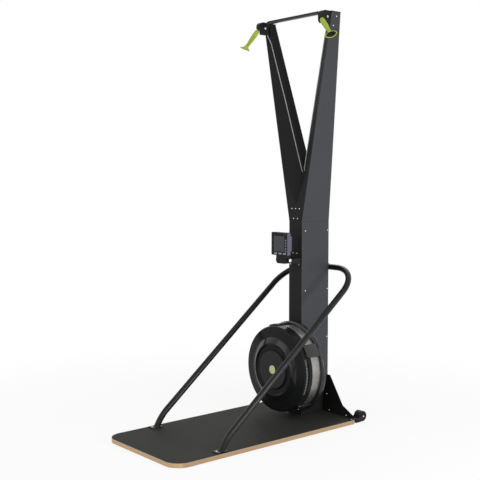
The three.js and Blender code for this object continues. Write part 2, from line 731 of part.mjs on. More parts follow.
// The housing hoods its pulley, is open below for the cord, and caps the top of the arm
function buildPulleyHousings() {
  const [innerX, outerX] = [housingInnerX, housingInnerX + housingWidth];
  const rearY = columnFrontY - fit;
  const shape = new THREE.Shape();
  shape.moveTo(rearY, housingBottomZ);
  shape.lineTo(rearY, housingTopZ);
  shape.lineTo(noseFrontY + noseRadius, housingTopZ);
  shape.absarc(noseFrontY + noseRadius, housingTopZ - noseRadius, noseRadius, Math.PI / 2, Math.PI, false);
  shape.lineTo(noseFrontY, noseBottomZ);
  shape.lineTo(throatY, throatZ);
  shape.lineTo(throatY + housingWall, housingBottomZ);
  const cavity = new THREE.Shape();
  cavity.moveTo(rearY + overrun, housingBottomZ - overrun);
  cavity.lineTo(rearY + overrun, housingTopZ - housingWall);
  cavity.lineTo(noseFrontY + noseRadius, housingTopZ - housingWall);
  cavity.absarc(noseFrontY + noseRadius, housingTopZ - noseRadius, noseRadius - housingWall,
    Math.PI / 2, Math.PI, false);
  cavity.lineTo(noseFrontY + housingWall, noseBottomZ - overrun);
  cavity.lineTo(throatY, noseBottomZ - 2 * overrun);
  cavity.lineTo(throatY, housingBottomZ - overrun);
  const hood = alongX(shape, innerX, outerX);
  const hollow = alongX(cavity, innerX + housingWall, outerX - housingWall);
  const pinHole = rodX(pulleyPinRadius + fit, innerX - overrun, outerX + overrun, pulleyY, pulleyZ, 16);
  const top = armCorners(armTopZ);
  const capRearY = armTopRearY + capOverhang;
  const cap = box([top[1][0], armTopHalf + capOverhang], [columnFrontY - housingWall, capRearY],
    [armTopZ + fit, armTopZ + fit + sheet]);
  addPair('pulley_housing', cut(join(cut(hood, hollow), cap), pinHole), finishes.plastic);
  const pin = rodX(pulleyPinRadius, innerX, outerX + fit, pulleyY, pulleyZ, 16);
  const heads = [[innerX - fit - pinHeadThickness, innerX - fit], [outerX + fit, outerX + fit + pinHeadThickness]];
  const headRods = heads.map(([low, high]) => rodX(pinHead / 2 + pulleyPinRadius / 2, low, high, pulleyY, pulleyZ, 12));
  const joining = rodX(pulleyPinRadius, innerX - fit - pinHeadThickness / 2, outerX + fit, pulleyY, pulleyZ, 16);
  addPair('pulley_pin', join(pin, joining, ...headRods), finishes.steel);
  const [left, right] = [pulleyX - pulleyWidth / 2, pulleyX + pulleyWidth / 2];
  const rimEdge = pulleyWidth / 4;
  const profile = [
    [pulleyPinRadius + fit, left], [pulleyRadius, left], [pulleyRadius, left + rimEdge / 2],
    [pulleyRadius - pulleyGroove, left + rimEdge], [pulleyRadius - pulleyGroove, right - rimEdge],
    [pulleyRadius, right - rimEdge / 2], [pulleyRadius, right], [pulleyPinRadius + fit, right],
  ];
  addPair('top_pulley', turnedX(profile, pulleyY, pulleyZ), finishes.plastic);
}

// The bar between the two housings, with its ends swept down to them
function buildCrossbar() {
  const endX = housingInnerX - fit;
  const highZ = crossbarTopZ - crossbarHeight / 2;
  const lowZ = highZ - crossbarDrop;
  const point = (x, z) => new THREE.Vector3(x, crossbarY, z);
  const straightX = endX - crossbarSweep;
  const pull = crossbarSweep / 2;
  const [leaving, arriving] = [point(straightX + pull, highZ), point(endX - pull, lowZ)];
  const [start, end] = [point(straightX, highZ), point(endX - crossbarCorner, lowZ)];
  const sweep = new THREE.CubicBezierCurve3(start, leaving, arriving, end);
  const right = [...sweep.getPoints(6), point(endX, lowZ)];
  const points = [...right.map((p) => point(-p.x, p.z)).reverse(), ...right];
  const [halfA, halfB] = [crossbarHeight / 2, crossbarDepth / 2];
  const shape = outline([
    [-halfA + crossbarCorner, -halfB], [halfA - crossbarCorner, -halfB], [halfA, -halfB + crossbarCorner],
    [halfA, halfB - crossbarCorner], [halfA - crossbarCorner, halfB], [-halfA + crossbarCorner, halfB],
    [-halfA, halfB - crossbarCorner], [-halfA, -halfB + crossbarCorner],
  ]);
  add('crossbar', pushedAlong(shape, points), finishes.black);
}

// Cord routes, from the spool up the column, out at the crotch and over the top pulley
const cordRoutes = {
  right: [
    [30, 1060, 292], [30, 1060, 960], [27, 1062, 1000], [20, 1070, 1060], [13, 1092, 1150], [10, 1097, 1230],
    [9.5, 1096, 1280], [9, 1088, 1317], [9, 1073, 1345], [12, 1068.5, 1362], [116, 1045, 1730],
    [207, 1022, 2043], [232, 1016, 2090], [238, 1012.4, 2124],
  ],
  left: [
    [30, 1098, 292], [30, 1098, 880], [26, 1099, 930], [6, 1100, 1004], [-9, 1102, 1062], [-12, 1102, 1120],
    [-10.5, 1099, 1250], [-9, 1088, 1317], [-9, 1073, 1345], [-12, 1068.5, 1362], [-116, 1045, 1730],
    [-207, 1022, 2043], [-232, 1016, 2090], [-238, 1012.4, 2124],
  ],
};

function buildCords() {
  for (const [side, route] of Object.entries(cordRoutes)) {
    const x = route[route.length - 1][0];
    const wrap = [];
    for (let deg = 0; deg <= 180; deg += 18) {
      const angle = THREE.MathUtils.degToRad(deg);
      wrap.push([x, pulleyY + cordWrapRadius * Math.cos(angle), pulleyZ + cordWrapRadius * Math.sin(angle)]);
    }
    wrap.push([x, pulleyY - cordWrapRadius, pulleyZ - cordStraight]);
    const points = [...route.slice(0, -1), ...wrap].map((p) => new THREE.Vector3(...p));
    add(`cord_${side}`, tube(points, cordRadius), finishes.cord);
  }
}

// A turned grip made oval above its foot, with the foot's rim leaning towards level
function slanted(geometry, length, down) {
  const places = geometry.getAttribute('position');
  const across = new THREE.Vector3(0, 1, 0).cross(down);
  const point = new THREE.Vector3();
  for (let i = 0; i < places.count; i++) {
    point.fromBufferAttribute(places, i);
    const foot = THREE.MathUtils.smoothstep(-point.y / length, handleNeckShare, 1);
    const squeeze = (1 - foot) * (1 - handleOvalShare) * point.dot(across);
    const rise = foot * handleSlantShare * point.dot(down);
    point.addScaledVector(across, -squeeze);
    point.y += rise;
    places.setXYZ(i, point.x, point.y, point.z);
  }
  return geometry;
}

// The grip, with a hollow flared foot; the cord's end runs from the pulley to its top
function buildHandles() {
  const length = Math.hypot(handleBaseX - handleTopX, handleBaseY - handleTopY, handleBaseZ - handleTopZ);
  const flareShares = [0, 0.055, 0.14, 0.3, 0.5, 0.7, 0.8, 0.88, 0.95, 1];
  const radii = [0.03, 0.4, 0.94, 1, 0.9, 0.72, 0.68, 0.82, 1.35].map((share) => share * handleGripRadius);
  const outside = [...radii, handleLipRadius].map((r, i) => [r, -flareShares[i] * length]);
  const hollow = outside.slice(-3).reverse().map(([r, y]) => [r - handleWall, y]);
  const floor = [0, hollow[hollow.length - 1][1]];
  const points = [[0, 0], ...outside, ...hollow, floor].map(([r, y]) => new THREE.Vector2(r, y));
  for (const [side, sign] of [['right', 1], ['left', -1]]) {
    const top = new THREE.Vector3(sign * handleTopX, handleTopY, handleTopZ);
    const base = new THREE.Vector3(sign * handleBaseX, handleBaseY, handleBaseZ);
    const direction = base.clone().sub(top).normalize();
    const turn = new THREE.Quaternion().setFromUnitVectors(new THREE.Vector3(0, -1, 0), direction);
    const down = new THREE.Vector3(0, 0, -1).projectOnPlane(direction).normalize();
    down.applyQuaternion(turn.clone().invert());
    const grip = slanted(new THREE.LatheGeometry(points, roundSides), length, down);
    const handle = add(`handle_${side}`, grip, finishes.grip);
    handle.position.copy(top);
    handle.quaternion.copy(turn);
    const exit = new THREE.Vector3(sign * pulleyX, pulleyY - cordWrapRadius, pulleyZ - cordStraight - fit);
    const end = top.clone().addScaledVector(direction, -fit);
    const pull = exit.distanceTo(end) / 3;
    const leaving = exit.clone().setZ(exit.z - pull);
    const arriving = end.clone().addScaledVector(direction, -pull);
    const bend = new THREE.CubicBezierCurve3(exit, leaving, arriving, end).getPoints(5);
    bend.splice(1, 0, exit.clone().lerp(leaving, cordEndShare));
    bend.splice(-1, 0, end.clone().lerp(arriving, cordEndShare));
    add(`cord_end_${side}`, tube(bend, cordRadius), finishes.cord);
  }
}

function buildFlywheelHousing() {
  const channelY = coverFaceY + coverChannelDepth;
  const w = coverWall;
  const cover = turnedY([
    [0, coverFaceY], [coverDiscRadius, coverFaceY], [coverDiscRadius + w / 2, channelY],
    [coverChannelRadius, channelY], [coverChannelRadius + w / 2, coverRingY + w / 2],
    [coverChannelRadius + w, coverRingY], [coverRingRadius, coverRingY], [coverSlopeRadius, coverAnnulusY - w],
    [coverRadius - coverEdge, coverAnnulusY + w], [coverRadius, coverAnnulusY + w + coverEdge],
    [coverRadius, coverRearY], [coverRadius - w, coverRearY], [coverRadius - w, coverAnnulusY + 2 * w + coverEdge],
    [coverRadius - coverEdge - w, coverAnnulusY + 2 * w], [coverSlopeRadius - w, coverAnnulusY],
    [coverRingRadius - w, coverRingY + w], [coverChannelRadius + 2 * w, coverRingY + w],
    [coverChannelRadius + w, channelY + w], [coverDiscRadius - w, channelY + w],
    [coverDiscRadius - w, coverFaceY + w], [0, coverFaceY + w],
  ], housingSides);
  const slotMiddle = damperRestDeg - damperSweepDeg / 2;
  const slotHalf = damperSweepDeg / 2 + 2 * leverHalfDeg;
  const slot = ringSector(coverRadius - 3 * w, coverRadius + overrun, slotMiddle, slotHalf,
    leverY - leverThickness / 2 - 1.5 * fit, leverY + leverThickness / 2 + 1.5 * fit);
  add('flywheel_cover', cut(cover, slot), finishes.plastic);
  const badge = turnedY([[0, coverFaceY - fit - badgeThickness], [badgeRadius - badgeThickness,
    coverFaceY - fit - badgeThickness], [badgeRadius, coverFaceY - fit], [0, coverFaceY - fit]]);
  add('centre_badge', badge, finishes.badge);
  const band = turnedY([
    [meshInnerRadius, coverRearY + fit], [meshInnerRadius + meshThickness, coverRearY + fit],
    [meshInnerRadius + meshThickness, meshRearY - fit], [meshInnerRadius, meshRearY - fit],
  ], housingSides);
  add('mesh_band', band, finishes.mesh);
  const rearRim = meshInnerRadius - sheet;
  const rear = turnedY([
    [rearHoleRadius, columnFrontY - fit], [rearBossRadius, columnFrontY - fit], [rearBossRadius, rearDiscY],
    [rearFlangeRadius, rearDiscY], [rearFlangeRadius, meshRearY + rearFlangeChamfer],
    [rearFlangeRadius - rearFlangeChamfer, meshRearY], [rearRim, meshRearY], [rearRim, rearWallY],
    [rearHoleRadius, rearWallY],
  ], housingSides);
  const inner = coverRadius + 2 * fit;
  const bridges = bridgeDegs.map((middle) => ringSector(inner, inner + bridgeThickness, middle,
    bridgeHalfDeg, bridgeFrontY, meshRearY + rearFlangeChamfer));
  add('rear_housing', join(rear, ...bridges), finishes.plastic);
}

// The ring inside the cover that throttles the air, with the lever that reaches out of its slot
function buildDamper() {
  const inner = damperRadius - damperThickness;
  const ring = turnedY([
    [inner, damperFrontY], [damperRadius, damperFrontY], [damperRadius, damperRearY], [inner, damperRearY],
  ], housingSides);
  const lever = ringSector(inner + damperThickness / 2, damperRadius + leverReach, damperRestDeg, leverHalfDeg,
    leverY - leverThickness / 2, leverY + leverThickness / 2);
  add('damper_ring', join(ring, lever), finishes.plastic);
}

function buildFlywheel() {
  const plateY = fanRearY - fanPlateThickness;
  const disc = turnedY([
    [shaftBore, fanFrontY], [fanHubRadius, fanFrontY], [fanHubRadius, plateY], [fanRadius, plateY],
    [fanRadius, fanRearY], [shaftBore, fanRearY],
  ], 36);
  const half = fanBladeThickness / 2;
  const blades = [];
  for (let i = 0; i < fanBladeCount; i += 1) {
    const blade = box([fanBladeFootRadius, fanRadius - half], [fanFrontY, plateY + half], [-half, half]);
    blades.push(blade.rotateY(i * 2 * Math.PI / fanBladeCount).translate(0, 0, flywheelZ));
  }
  add('flywheel_fan', join(disc, ...blades), finishes.steel);
  const shaftEndY = rearBearingY + bearingWidth;
  add('flywheel_shaft', rodY(shaftRadius, fanFrontY - fit, shaftEndY, 0, flywheelZ, 18), finishes.steel);
}

// The block behind the column's face holds both bearings, with the spools between them
function buildDrive() {
  const low = flywheelZ - bearingBlockHeight / 2;
  const high = flywheelZ + bearingBlockHeight / 2;
  const plates = [frontBearingY, rearBearingY].map((y) =>
    box([-bearingBlockHalf, bearingBlockHalf], [y, y + bearingWidth], [low, high]));
  const web = box([-bearingBlockHalf, bearingBlockHalf], [frontBearingY, rearBearingY + bearingWidth],
    [low, low + bearingWeb]);
  const seat = rodY(bearingRadius + fit, frontBearingY - overrun, rearBearingY + bearingWidth + overrun, 0, flywheelZ);
  add('bearing_block', cut(join(...plates, web), seat), finishes.black);
  for (const [name, y] of [['bearing_front', frontBearingY], ['bearing_rear', rearBearingY]]) {
    const ring = turnedY([
      [shaftBore, y], [bearingRadius, y], [bearingRadius, y + bearingWidth], [shaftBore, y + bearingWidth],
    ]);
    add(name, ring, finishes.steel);
  }
  const places = [0, spoolHubWidth, spoolHubWidth + spoolFlange, spoolWidth - spoolFlange, spoolWidth];
  const radii = [spoolHubRadius, spoolFlangeRadius, spoolRadius, spoolFlangeRadius];
  const spool = (startY, sign) => {
    const at = (place) => startY + sign * place;
    const steps = radii.flatMap((r, i) => [[r, at(places[i])], [r, at(places[i + 1])]]);
    return turnedY([[shaftBore, at(0)], ...steps, [shaftBore, at(spoolWidth)]]);
  };
  add('cord_spool_right', spool(spoolFrontY, 1), finishes.plastic);
  add('cord_spool_left', spool(spoolMiddleY + spoolWidth, -1), finishes.plastic);
  buildReturnCord();
}

// One elastic cord pulls both spools back, by way of a pulley high in the column
function buildReturnCord() {
  const x = -(spoolHubRadius + returnCordRadius + fit);
  const frontY = spoolFrontY + spoolHubWidth / 2;
  const rearY = spoolMiddleY + spoolWidth - spoolHubWidth / 2;
  const middleY = (frontY + rearY) / 2;
  const bend = (rearY - frontY) / 2;
  const points = [new THREE.Vector3(x, frontY, flywheelZ)];
  for (let deg = 180; deg >= 0; deg -= 18) {
    const angle = THREE.MathUtils.degToRad(deg);
    points.push(new THREE.Vector3(x, middleY + bend * Math.cos(angle), returnPulleyZ + bend * Math.sin(angle)));
  }
  points.push(new THREE.Vector3(x, rearY, flywheelZ));
  add('return_cord', tube(points, returnCordRadius), finishes.elastic);
  const groove = bend - returnCordRadius - cordPlay;
  const [left, right] = [x - returnPulleyWidth / 2, x + returnPulleyWidth / 2];
  const edge = returnPulleyWidth / 6;
  const profile = [
    [returnPinRadius + fit, left], [groove + returnGroove, left], [groove, left + edge], [groove, right - edge],
    [groove + returnGroove, right], [returnPinRadius + fit, right],
  ];
  add('return_pulley', turnedX(profile, middleY, returnPulleyZ), finishes.plastic);
  const pinEnd = columnHalf - sidePanel - fit;
  add('return_pin', rodX(returnPinRadius, -pinEnd, pinEnd, middleY, returnPulleyZ, 16), finishes.steel);
}

function buildMonitor() {
  const half = monitorWidth / 2;
  const topZ = monitorBottomZ + monitorHeight;
  const middleZ = monitorBottomZ + monitorHeight / 2;
  const face = roundedRectangle(-half, half, monitorBottomZ, topZ, monitorCorner);
  const hump = roundedRectangle(-humpWidth / 2, humpWidth / 2, middleZ - humpHeight / 2, middleZ + humpHeight / 2,
    monitorCorner);
  const rearY = monitorFaceY + monitorDepth;
  const shell = join(alongY(face, monitorFaceY, rearY), alongY(hump, rearY - sheet, rearY + humpDepth));
  const screenX = [screenLeftX, screenLeftX + screenWidth];
  const screenZ = [monitorBottomZ + screenLiftZ, monitorBottomZ + screenLiftZ + screenHeight];
  const frontCut = monitorFaceY - overrun;
  const pockets = [box(screenX, [frontCut, monitorFaceY + screenRecess], screenZ)];
  const buttons = [];
  const addButton = (name, x, z, width, height) => {
    const area = (gap) => [[x - width / 2 - gap, x + width / 2 + gap], [z - height / 2 - gap, z + height / 2 + gap]];
    const [pocketX, pocketZ] = area(fit);
    pockets.push(box(pocketX, [frontCut, monitorFaceY + buttonPocket], pocketZ));
    const [buttonX, buttonZ] = area(0);
    const y0 = monitorFaceY - buttonStand;
    buttons.push([name, box(buttonX, [y0, y0 + buttonThickness], buttonZ)]);
  };
  for (let i = 0; i < sideButtonCount; i += 1) {
    addButton(`side_button_${i + 1}`, sideButtonX, topZ - sideButtonTop - i * sideButtonPitch,
      sideButtonWidth, sideButtonHeight);
  }
  for (let i = 0; i < menuButtonCount; i += 1) {
    addButton(`menu_button_${i + 1}`, menuButtonLeftX + i * menuButtonPitch, monitorBottomZ + menuButtonLift,
      menuButtonWidth, menuButtonHeight);
  }
  add('monitor_case', cut(shell, ...pockets), finishes.plastic);
  const screenBackY = monitorFaceY + screenRecess - fit;
  add('monitor_screen', box(screenX.map((x, i) => x + (i ? -fit : fit)), [screenBackY - screenThickness, screenBackY],
    screenZ.map((z, i) => z + (i ? -fit : fit))), finishes.screen);
  buttons.forEach(([name, geometry]) => add(name, geometry, finishes.button));
  buildMonitorMount();
}

// The cradle under the monitor tilts on a pin held by the two ears of the column bracket
function buildMonitorMount() {
  const cradleTopZ = monitorBottomZ - fit;
  const front = pivotY - cradleDepth / 2;
  const shape = roundedRectangle(-cradleHalf, cradleHalf, cradleBottomZ, cradleTopZ + cradleCorner, cradleCorner);
  const trim = box([-deckWidth, deckWidth], [0, deckLength], [cradleTopZ, cradleTopZ + monitorHeight]);
  const pinHole = rodX(pivotRadius + fit, -cradleHalf - overrun, cradleHalf + overrun, pivotY, pivotZ, 16);
  add('monitor_cradle', cut(alongY(shape, front, front + cradleDepth), trim, pinHole), finishes.plastic);
  const earX = cradleHalf + fit;
  const plateRearY = columnFrontY - fit;
  const plateFrontY = plateRearY - bracketPlateThickness;
  const ear = new THREE.Shape();
  ear.moveTo(plateFrontY + sheet, earBottomZ);
  ear.lineTo(plateFrontY + sheet, pivotZ + earRadius / 2);
  ear.lineTo(pivotY + earRadius, pivotZ + earRadius / 3);
  ear.absarc(pivotY, pivotZ, earRadius, Math.PI / 8, 1.6 * Math.PI, false);
  const ears = [[earX, earX + earThickness], [-earX - earThickness, -earX]].map(([low, high]) =>
    alongX(ear, low, high));
  const plateShape = roundedRectangle(-bracketPlateHalf, bracketPlateHalf, bracketPlateBottomZ, bracketPlateTopZ,
    monitorCorner);
  const plate = alongY(plateShape, plateFrontY, plateRearY);
  const pin = rodX(pivotRadius, -earX - earThickness / 2, earX + earThickness / 2, pivotY, pivotZ, 16);
  add('monitor_bracket', join(plate, ...ears, pin), finishes.black);
  const knobX = earX + earThickness + fit;
  const knob = turnedX([
    [0, knobX], [knobShankRadius, knobX], [knobShankRadius, knobX + knobShankThickness],
    [knobRadius, knobX + knobShankThickness], [knobRadius, knobX + knobThickness - sheet],
    [knobRadius - sheet, knobX + knobThickness], [0, knobX + knobThickness],
  ], pivotY, pivotZ);
  add('monitor_knob', knob, finishes.knob);
}

buildDeck();
buildHandrail();
buildRearPlate();
buildTransportWheels();
buildColumn();
buildArms();
buildPulleyHousings();
buildCrossbar();
buildCords();
buildHandles();
buildFlywheelHousing();
buildDamper();
buildFlywheel();
buildDrive();
buildMonitor();

export default machine;
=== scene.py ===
"""Ski trainer machine: smooth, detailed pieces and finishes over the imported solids."""

import json
import logging
import math
from collections.abc import Callable, Iterable, Sequence
from dataclasses import dataclass
from enum import Enum
from typing import ClassVar

import bmesh
import bpy
from mathutils import Matrix, Vector

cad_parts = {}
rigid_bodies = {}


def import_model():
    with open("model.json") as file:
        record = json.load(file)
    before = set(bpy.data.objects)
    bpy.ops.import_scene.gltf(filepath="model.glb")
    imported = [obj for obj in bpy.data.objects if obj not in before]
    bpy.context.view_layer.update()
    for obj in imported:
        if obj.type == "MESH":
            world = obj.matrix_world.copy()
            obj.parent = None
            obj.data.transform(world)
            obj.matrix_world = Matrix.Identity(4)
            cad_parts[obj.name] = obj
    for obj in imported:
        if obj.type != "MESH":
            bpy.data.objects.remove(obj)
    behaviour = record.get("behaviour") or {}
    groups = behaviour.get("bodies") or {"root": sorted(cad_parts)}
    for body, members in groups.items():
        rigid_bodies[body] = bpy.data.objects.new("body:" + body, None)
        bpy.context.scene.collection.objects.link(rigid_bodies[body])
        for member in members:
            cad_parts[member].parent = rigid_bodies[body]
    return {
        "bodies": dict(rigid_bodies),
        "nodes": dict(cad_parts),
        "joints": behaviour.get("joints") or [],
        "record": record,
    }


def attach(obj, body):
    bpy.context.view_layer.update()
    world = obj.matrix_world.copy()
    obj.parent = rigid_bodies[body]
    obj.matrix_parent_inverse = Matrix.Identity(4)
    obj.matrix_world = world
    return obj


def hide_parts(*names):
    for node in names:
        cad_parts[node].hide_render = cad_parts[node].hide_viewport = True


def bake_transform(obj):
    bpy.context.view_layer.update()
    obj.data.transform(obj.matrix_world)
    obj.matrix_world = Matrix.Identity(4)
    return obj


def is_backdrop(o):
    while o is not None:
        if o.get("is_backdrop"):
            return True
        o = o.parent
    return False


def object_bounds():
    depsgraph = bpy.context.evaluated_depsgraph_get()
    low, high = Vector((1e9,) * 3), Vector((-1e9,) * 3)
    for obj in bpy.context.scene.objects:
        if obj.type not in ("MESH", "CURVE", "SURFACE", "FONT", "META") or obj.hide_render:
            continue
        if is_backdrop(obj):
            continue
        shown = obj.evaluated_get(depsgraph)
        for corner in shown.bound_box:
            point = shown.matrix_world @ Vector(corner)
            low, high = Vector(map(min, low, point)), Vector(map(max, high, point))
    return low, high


log = logging.getLogger("ski_trainer")

Colour = tuple[float, float, float]
Triple = tuple[float, float, float]
Pair = tuple[float, float]
Corner = bmesh.types.BMVert
Socket = bpy.types.NodeSocket

METRES = 0.001
WELD = 0.0005
CREASE = 34.0

AXIS_X = Vector((1, 0, 0))
AXIS_Y = Vector((0, 1, 0))
AXIS_Z = Vector((0, 0, 1))

# Places in millimetres that several pieces share, with Y from the deck's front edge
DECK_FRONT = 635.0
DECK_TOP = 23.1
GAP = 0.3
COLUMN_HALF = 50.0
COLUMN_FRONT = 1016.0
SHAFT = Vector((0, 0, 288.8))
PULLEY: Pair = (991.0, 2124.0)
PULLEY_X = 238.0
HANDLE_TOP: Triple = (247.0, 956.0, 2108.0)
HANDLE_BASE: Triple = (332.0, 939.0, 2020.0)


class Side(Enum):
    """The two sides of the machine, as the person who uses it sees them."""

    RIGHT = 1
    LEFT = -1

    @property
    def word(self) -> str:
        """The side's word in the names of pieces and bodies."""
        return self.name.lower()

    def x(self, distance: float) -> float:
        """A distance from the centre line as an X."""
        return self.value * distance

    def point(self, place: Triple) -> Vector:
        """A place on the right, taken to this side."""
        return Vector((self.x(place[0]), *place[1:]))


class Screw(Enum):
    """The radius and the height of a screw's head."""

    FOOT = (5.4, 3.2)
    CLAMP = (5.0, 3.0)
    PLATE = (4.4, 2.4)
    BRIDGE = (4.0, 2.2)
    SHEET = (3.9, 2.2)
    FORK = (3.8, 2.0)
    BRACKET = (3.6, 2.0)


# Shader graphs


def math_node(operation: str, flipped: bool = False) -> Callable[..., "Signal"]:
    """Makes a method of Signal that adds a Math node.

    Args:
        operation: The Math node's operation.
        flipped: Whether the signal is the second operand.

    Returns:
        The method, which takes the other operand if the operation has one.
    """

    def method(self: "Signal", other: object = None) -> "Signal":
        """Adds the node.

        Args:
            self: The signal.
            other: The other operand.

        Returns:
            The node's result.
        """
        operands = (other, self) if flipped else (self, other)
        values = {slot: value for slot, value in enumerate(operands) if value is not None}
        node = self.graph.node("ShaderNodeMath", {"operation": operation}, values)
        return Signal(self.graph, node.outputs[0])

    return method


@dataclass(eq=False)
class Signal:
    """A number that varies over a surface. Arithmetic on it adds Math nodes."""

    graph: "Graph"
    socket: Socket

    __add__ = math_node("ADD")
    __sub__ = math_node("SUBTRACT")
    __rsub__ = math_node("SUBTRACT", flipped=True)
    __mul__ = math_node("MULTIPLY")
    __truediv__ = math_node("DIVIDE")
    __lt__ = math_node("LESS_THAN")
    __gt__ = math_node("GREATER_THAN")
    __abs__ = math_node("ABSOLUTE")
    sine = math_node("SINE")
    root = math_node("SQRT")
    fraction = math_node("FRACT")
    whole = math_node("FLOOR")
    angle_over = math_node("ARCTAN2")

    def spread(self, low: float, high: float, first: float = 0.0, last: float = 1.0) -> "Signal":
        """Maps a stretch of values smoothly onto another and holds it at the ends.

        Args:
            low: The value that becomes first.
            high: The value that becomes last.
            first: The result at low.
            last: The result at high.

        Returns:
            The mapped value.
        """
        settings = {"interpolation_type": "SMOOTHSTEP", "clamp": True}
        values = {"Value": self, "From Min": low, "From Max": high, "To Min": first, "To Max": last}
        return Signal(self.graph, self.graph.node("ShaderNodeMapRange", settings, values).outputs["Result"])


class Graph:
    """The node tree of a material or of the world."""

    def __init__(self, holder: bpy.types.ID) -> None:
        """Starts an empty tree.

        Args:
            holder: The material or the world.
        """
        holder.use_nodes = True
        self.tree = holder.node_tree
        self.tree.nodes.clear()

    def node(self, kind: str, settings: dict | None = None, values: dict | None = None) -> bpy.types.Node:
        """Adds a node.

        Args:
            kind: The node's type.
            settings: Its settings, which are set first.
            values: The values or links of its sockets.

        Returns:
            The node.
        """
        made = self.tree.nodes.new(kind)
        for key, value in (settings or {}).items():
            setattr(made, key, value)
        for key, value in (values or {}).items():
            self.feed(made.inputs[key], value)
        return made

    def feed(self, socket: Socket, value: object) -> None:
        """Sets or links a socket.

        Args:
            socket: The input socket.
            value: A number, a colour, a vector, a signal or an output socket.
        """
        if isinstance(value, Signal):
            value = value.socket
        if isinstance(value, Socket):
            self.tree.links.new(value, socket)
        elif isinstance(value, tuple) and len(value) == 3 and socket.type == "RGBA":
            socket.default_value = (*value, 1.0)
        else:
            socket.default_value = value

    def place(self, source: str = "Object") -> Socket:
        """The place on the object in metres in the row frame, or on the piece's UV map."""
        return self.node("ShaderNodeTexCoord").outputs[source]

    def axes(self, source: str = "Object") -> list[Signal]:
        """The place's coordinates. A UV map's are turns round the piece and metres along it."""
        parts = self.node("ShaderNodeSeparateXYZ", None, {0: self.place(source)})
        return [Signal(self, output) for output in parts.outputs]

    def noise(self, scale: float, detail: float = 2.0, stretch: Triple = (1, 1, 1)) -> Signal:
        """Even noise.

        Args:
            scale: Features in a metre.
            detail: The octaves.
            stretch: A scale on each axis.

        Returns:
            Noise from 0 to 1.
        """
        where = self.node("ShaderNodeMapping", None, {"Vector": self.place(), "Scale": stretch}).outputs[0]
        values = {"Vector": where, "Scale": scale, "Detail": detail}
        return Signal(self, self.node("ShaderNodeTexNoise", None, values).outputs[0])

    def speckle(self, scale: float) -> Signal:
        """The distance to the nearest of scattered points, with so many of them in a metre."""
        made = self.node("ShaderNodeTexVoronoi", None, {"Vector": self.place(), "Scale": scale})
        return Signal(self, made.outputs["Distance"])

    def blend(self, share: object, first: object, second: object) -> Socket:
        """Mixes two colours by the second one's share."""
        return self.node("ShaderNodeMix", {"data_type": "RGBA"}, {0: share, 6: first, 7: second}).outputs[2]

    def relief(self, height: Signal, depth: float, strength: float) -> Socket:
        """The normal of a bump, from its height between 0 and 1 and its depth in metres."""
        values = {"Height": height, "Distance": depth, "Strength": strength}
        return self.node("ShaderNodeBump", None, values).outputs[0]

    def surface(self, gloss: float, **sockets: object) -> None:
        """Ends the graph with the surface shader.

        Args:
            gloss: The plain gloss.
            **sockets: Values by the shader's socket names, with underscores for blanks.
        """
        values = {key.replace("_", " "): value for key, value in sockets.items()}
        shader = self.node("ShaderNodeBsdfPrincipled", None, {"Specular IOR Level": gloss, **values})
        self.node("ShaderNodeOutputMaterial", None, {"Surface": shader.outputs[0]})

    def seen(self) -> Signal:
        """One for the rays of the camera, of gloss and of transmission, and zero for light.

        Returns:
            The sum of the three.
        """
        light = self.node("ShaderNodeLightPath").outputs
        first = Signal(self, light["Is Camera Ray"]) + Signal(self, light["Is Glossy Ray"])
        return first + Signal(self, light["Is Transmission Ray"])


# Finishes


def shade(colour: Colour, factor: float) -> Colour:
    """A colour made lighter or darker by a factor."""
    return (colour[0] * factor, colour[1] * factor, colour[2] * factor)


@dataclass(frozen=True)
class Finish:
    """A finish with its record slot, its colour, its roughness and its plain gloss."""

    name: str
    slot: str
    colour: Colour
    roughness: float = 0.5
    gloss: float = 0.5

    def tint(self, graph: Graph, share: object, low: float, high: float) -> Socket:
        """The colour, which wanders from a darker to a lighter shade by a share."""
        return graph.blend(share, shade(self.colour, low), shade(self.colour, high))

    def paint(self, graph: Graph) -> None:
        """Fills the material's graph.

        Args:
            graph: The empty graph.
        """
        cloud = graph.noise(9.0, detail=3.0)
        graph.surface(
            self.gloss,
            Base_Color=self.tint(graph, cloud, 0.94, 1.06),
            Roughness=cloud * 0.06 + (self.roughness - 0.03),
        )

    def material(self) -> bpy.types.Material:
        """Gives the finish's material.

        Returns:
            The material, made on its first use.
        """
        known = bpy.data.materials.get(self.name)
        if known is None:
            known = bpy.data.materials.new(self.name)
            self.paint(Graph(known))
        return known


@dataclass(frozen=True)
class PowderCoat(Finish):
    """Baked powder paint on sheet metal or tube, with a fine orange peel."""

    peel: float = 0.00004

    def painted(self, _: Graph, tint: Socket) -> Socket:
        """The paint's colour, which is the same all over."""
        return tint

    def paint(self, graph: Graph) -> None:
        """Fills the material's graph.

        Args:
            graph: The empty graph.
        """
        cloud = graph.noise(5.0, detail=4.0)
        grain = graph.noise(850.0)
        dust = graph.noise(2600.0, detail=1.0)
        graph.surface(
            self.gloss,
            Base_Color=self.painted(graph, self.tint(graph, cloud * 0.7 + dust * 0.3, 0.88, 1.12)),
            Roughness=cloud * 0.1 + grain * 0.06 + (self.roughness - 0.08),
            Normal=graph.relief(grain, self.peel, strength=0.8),
        )


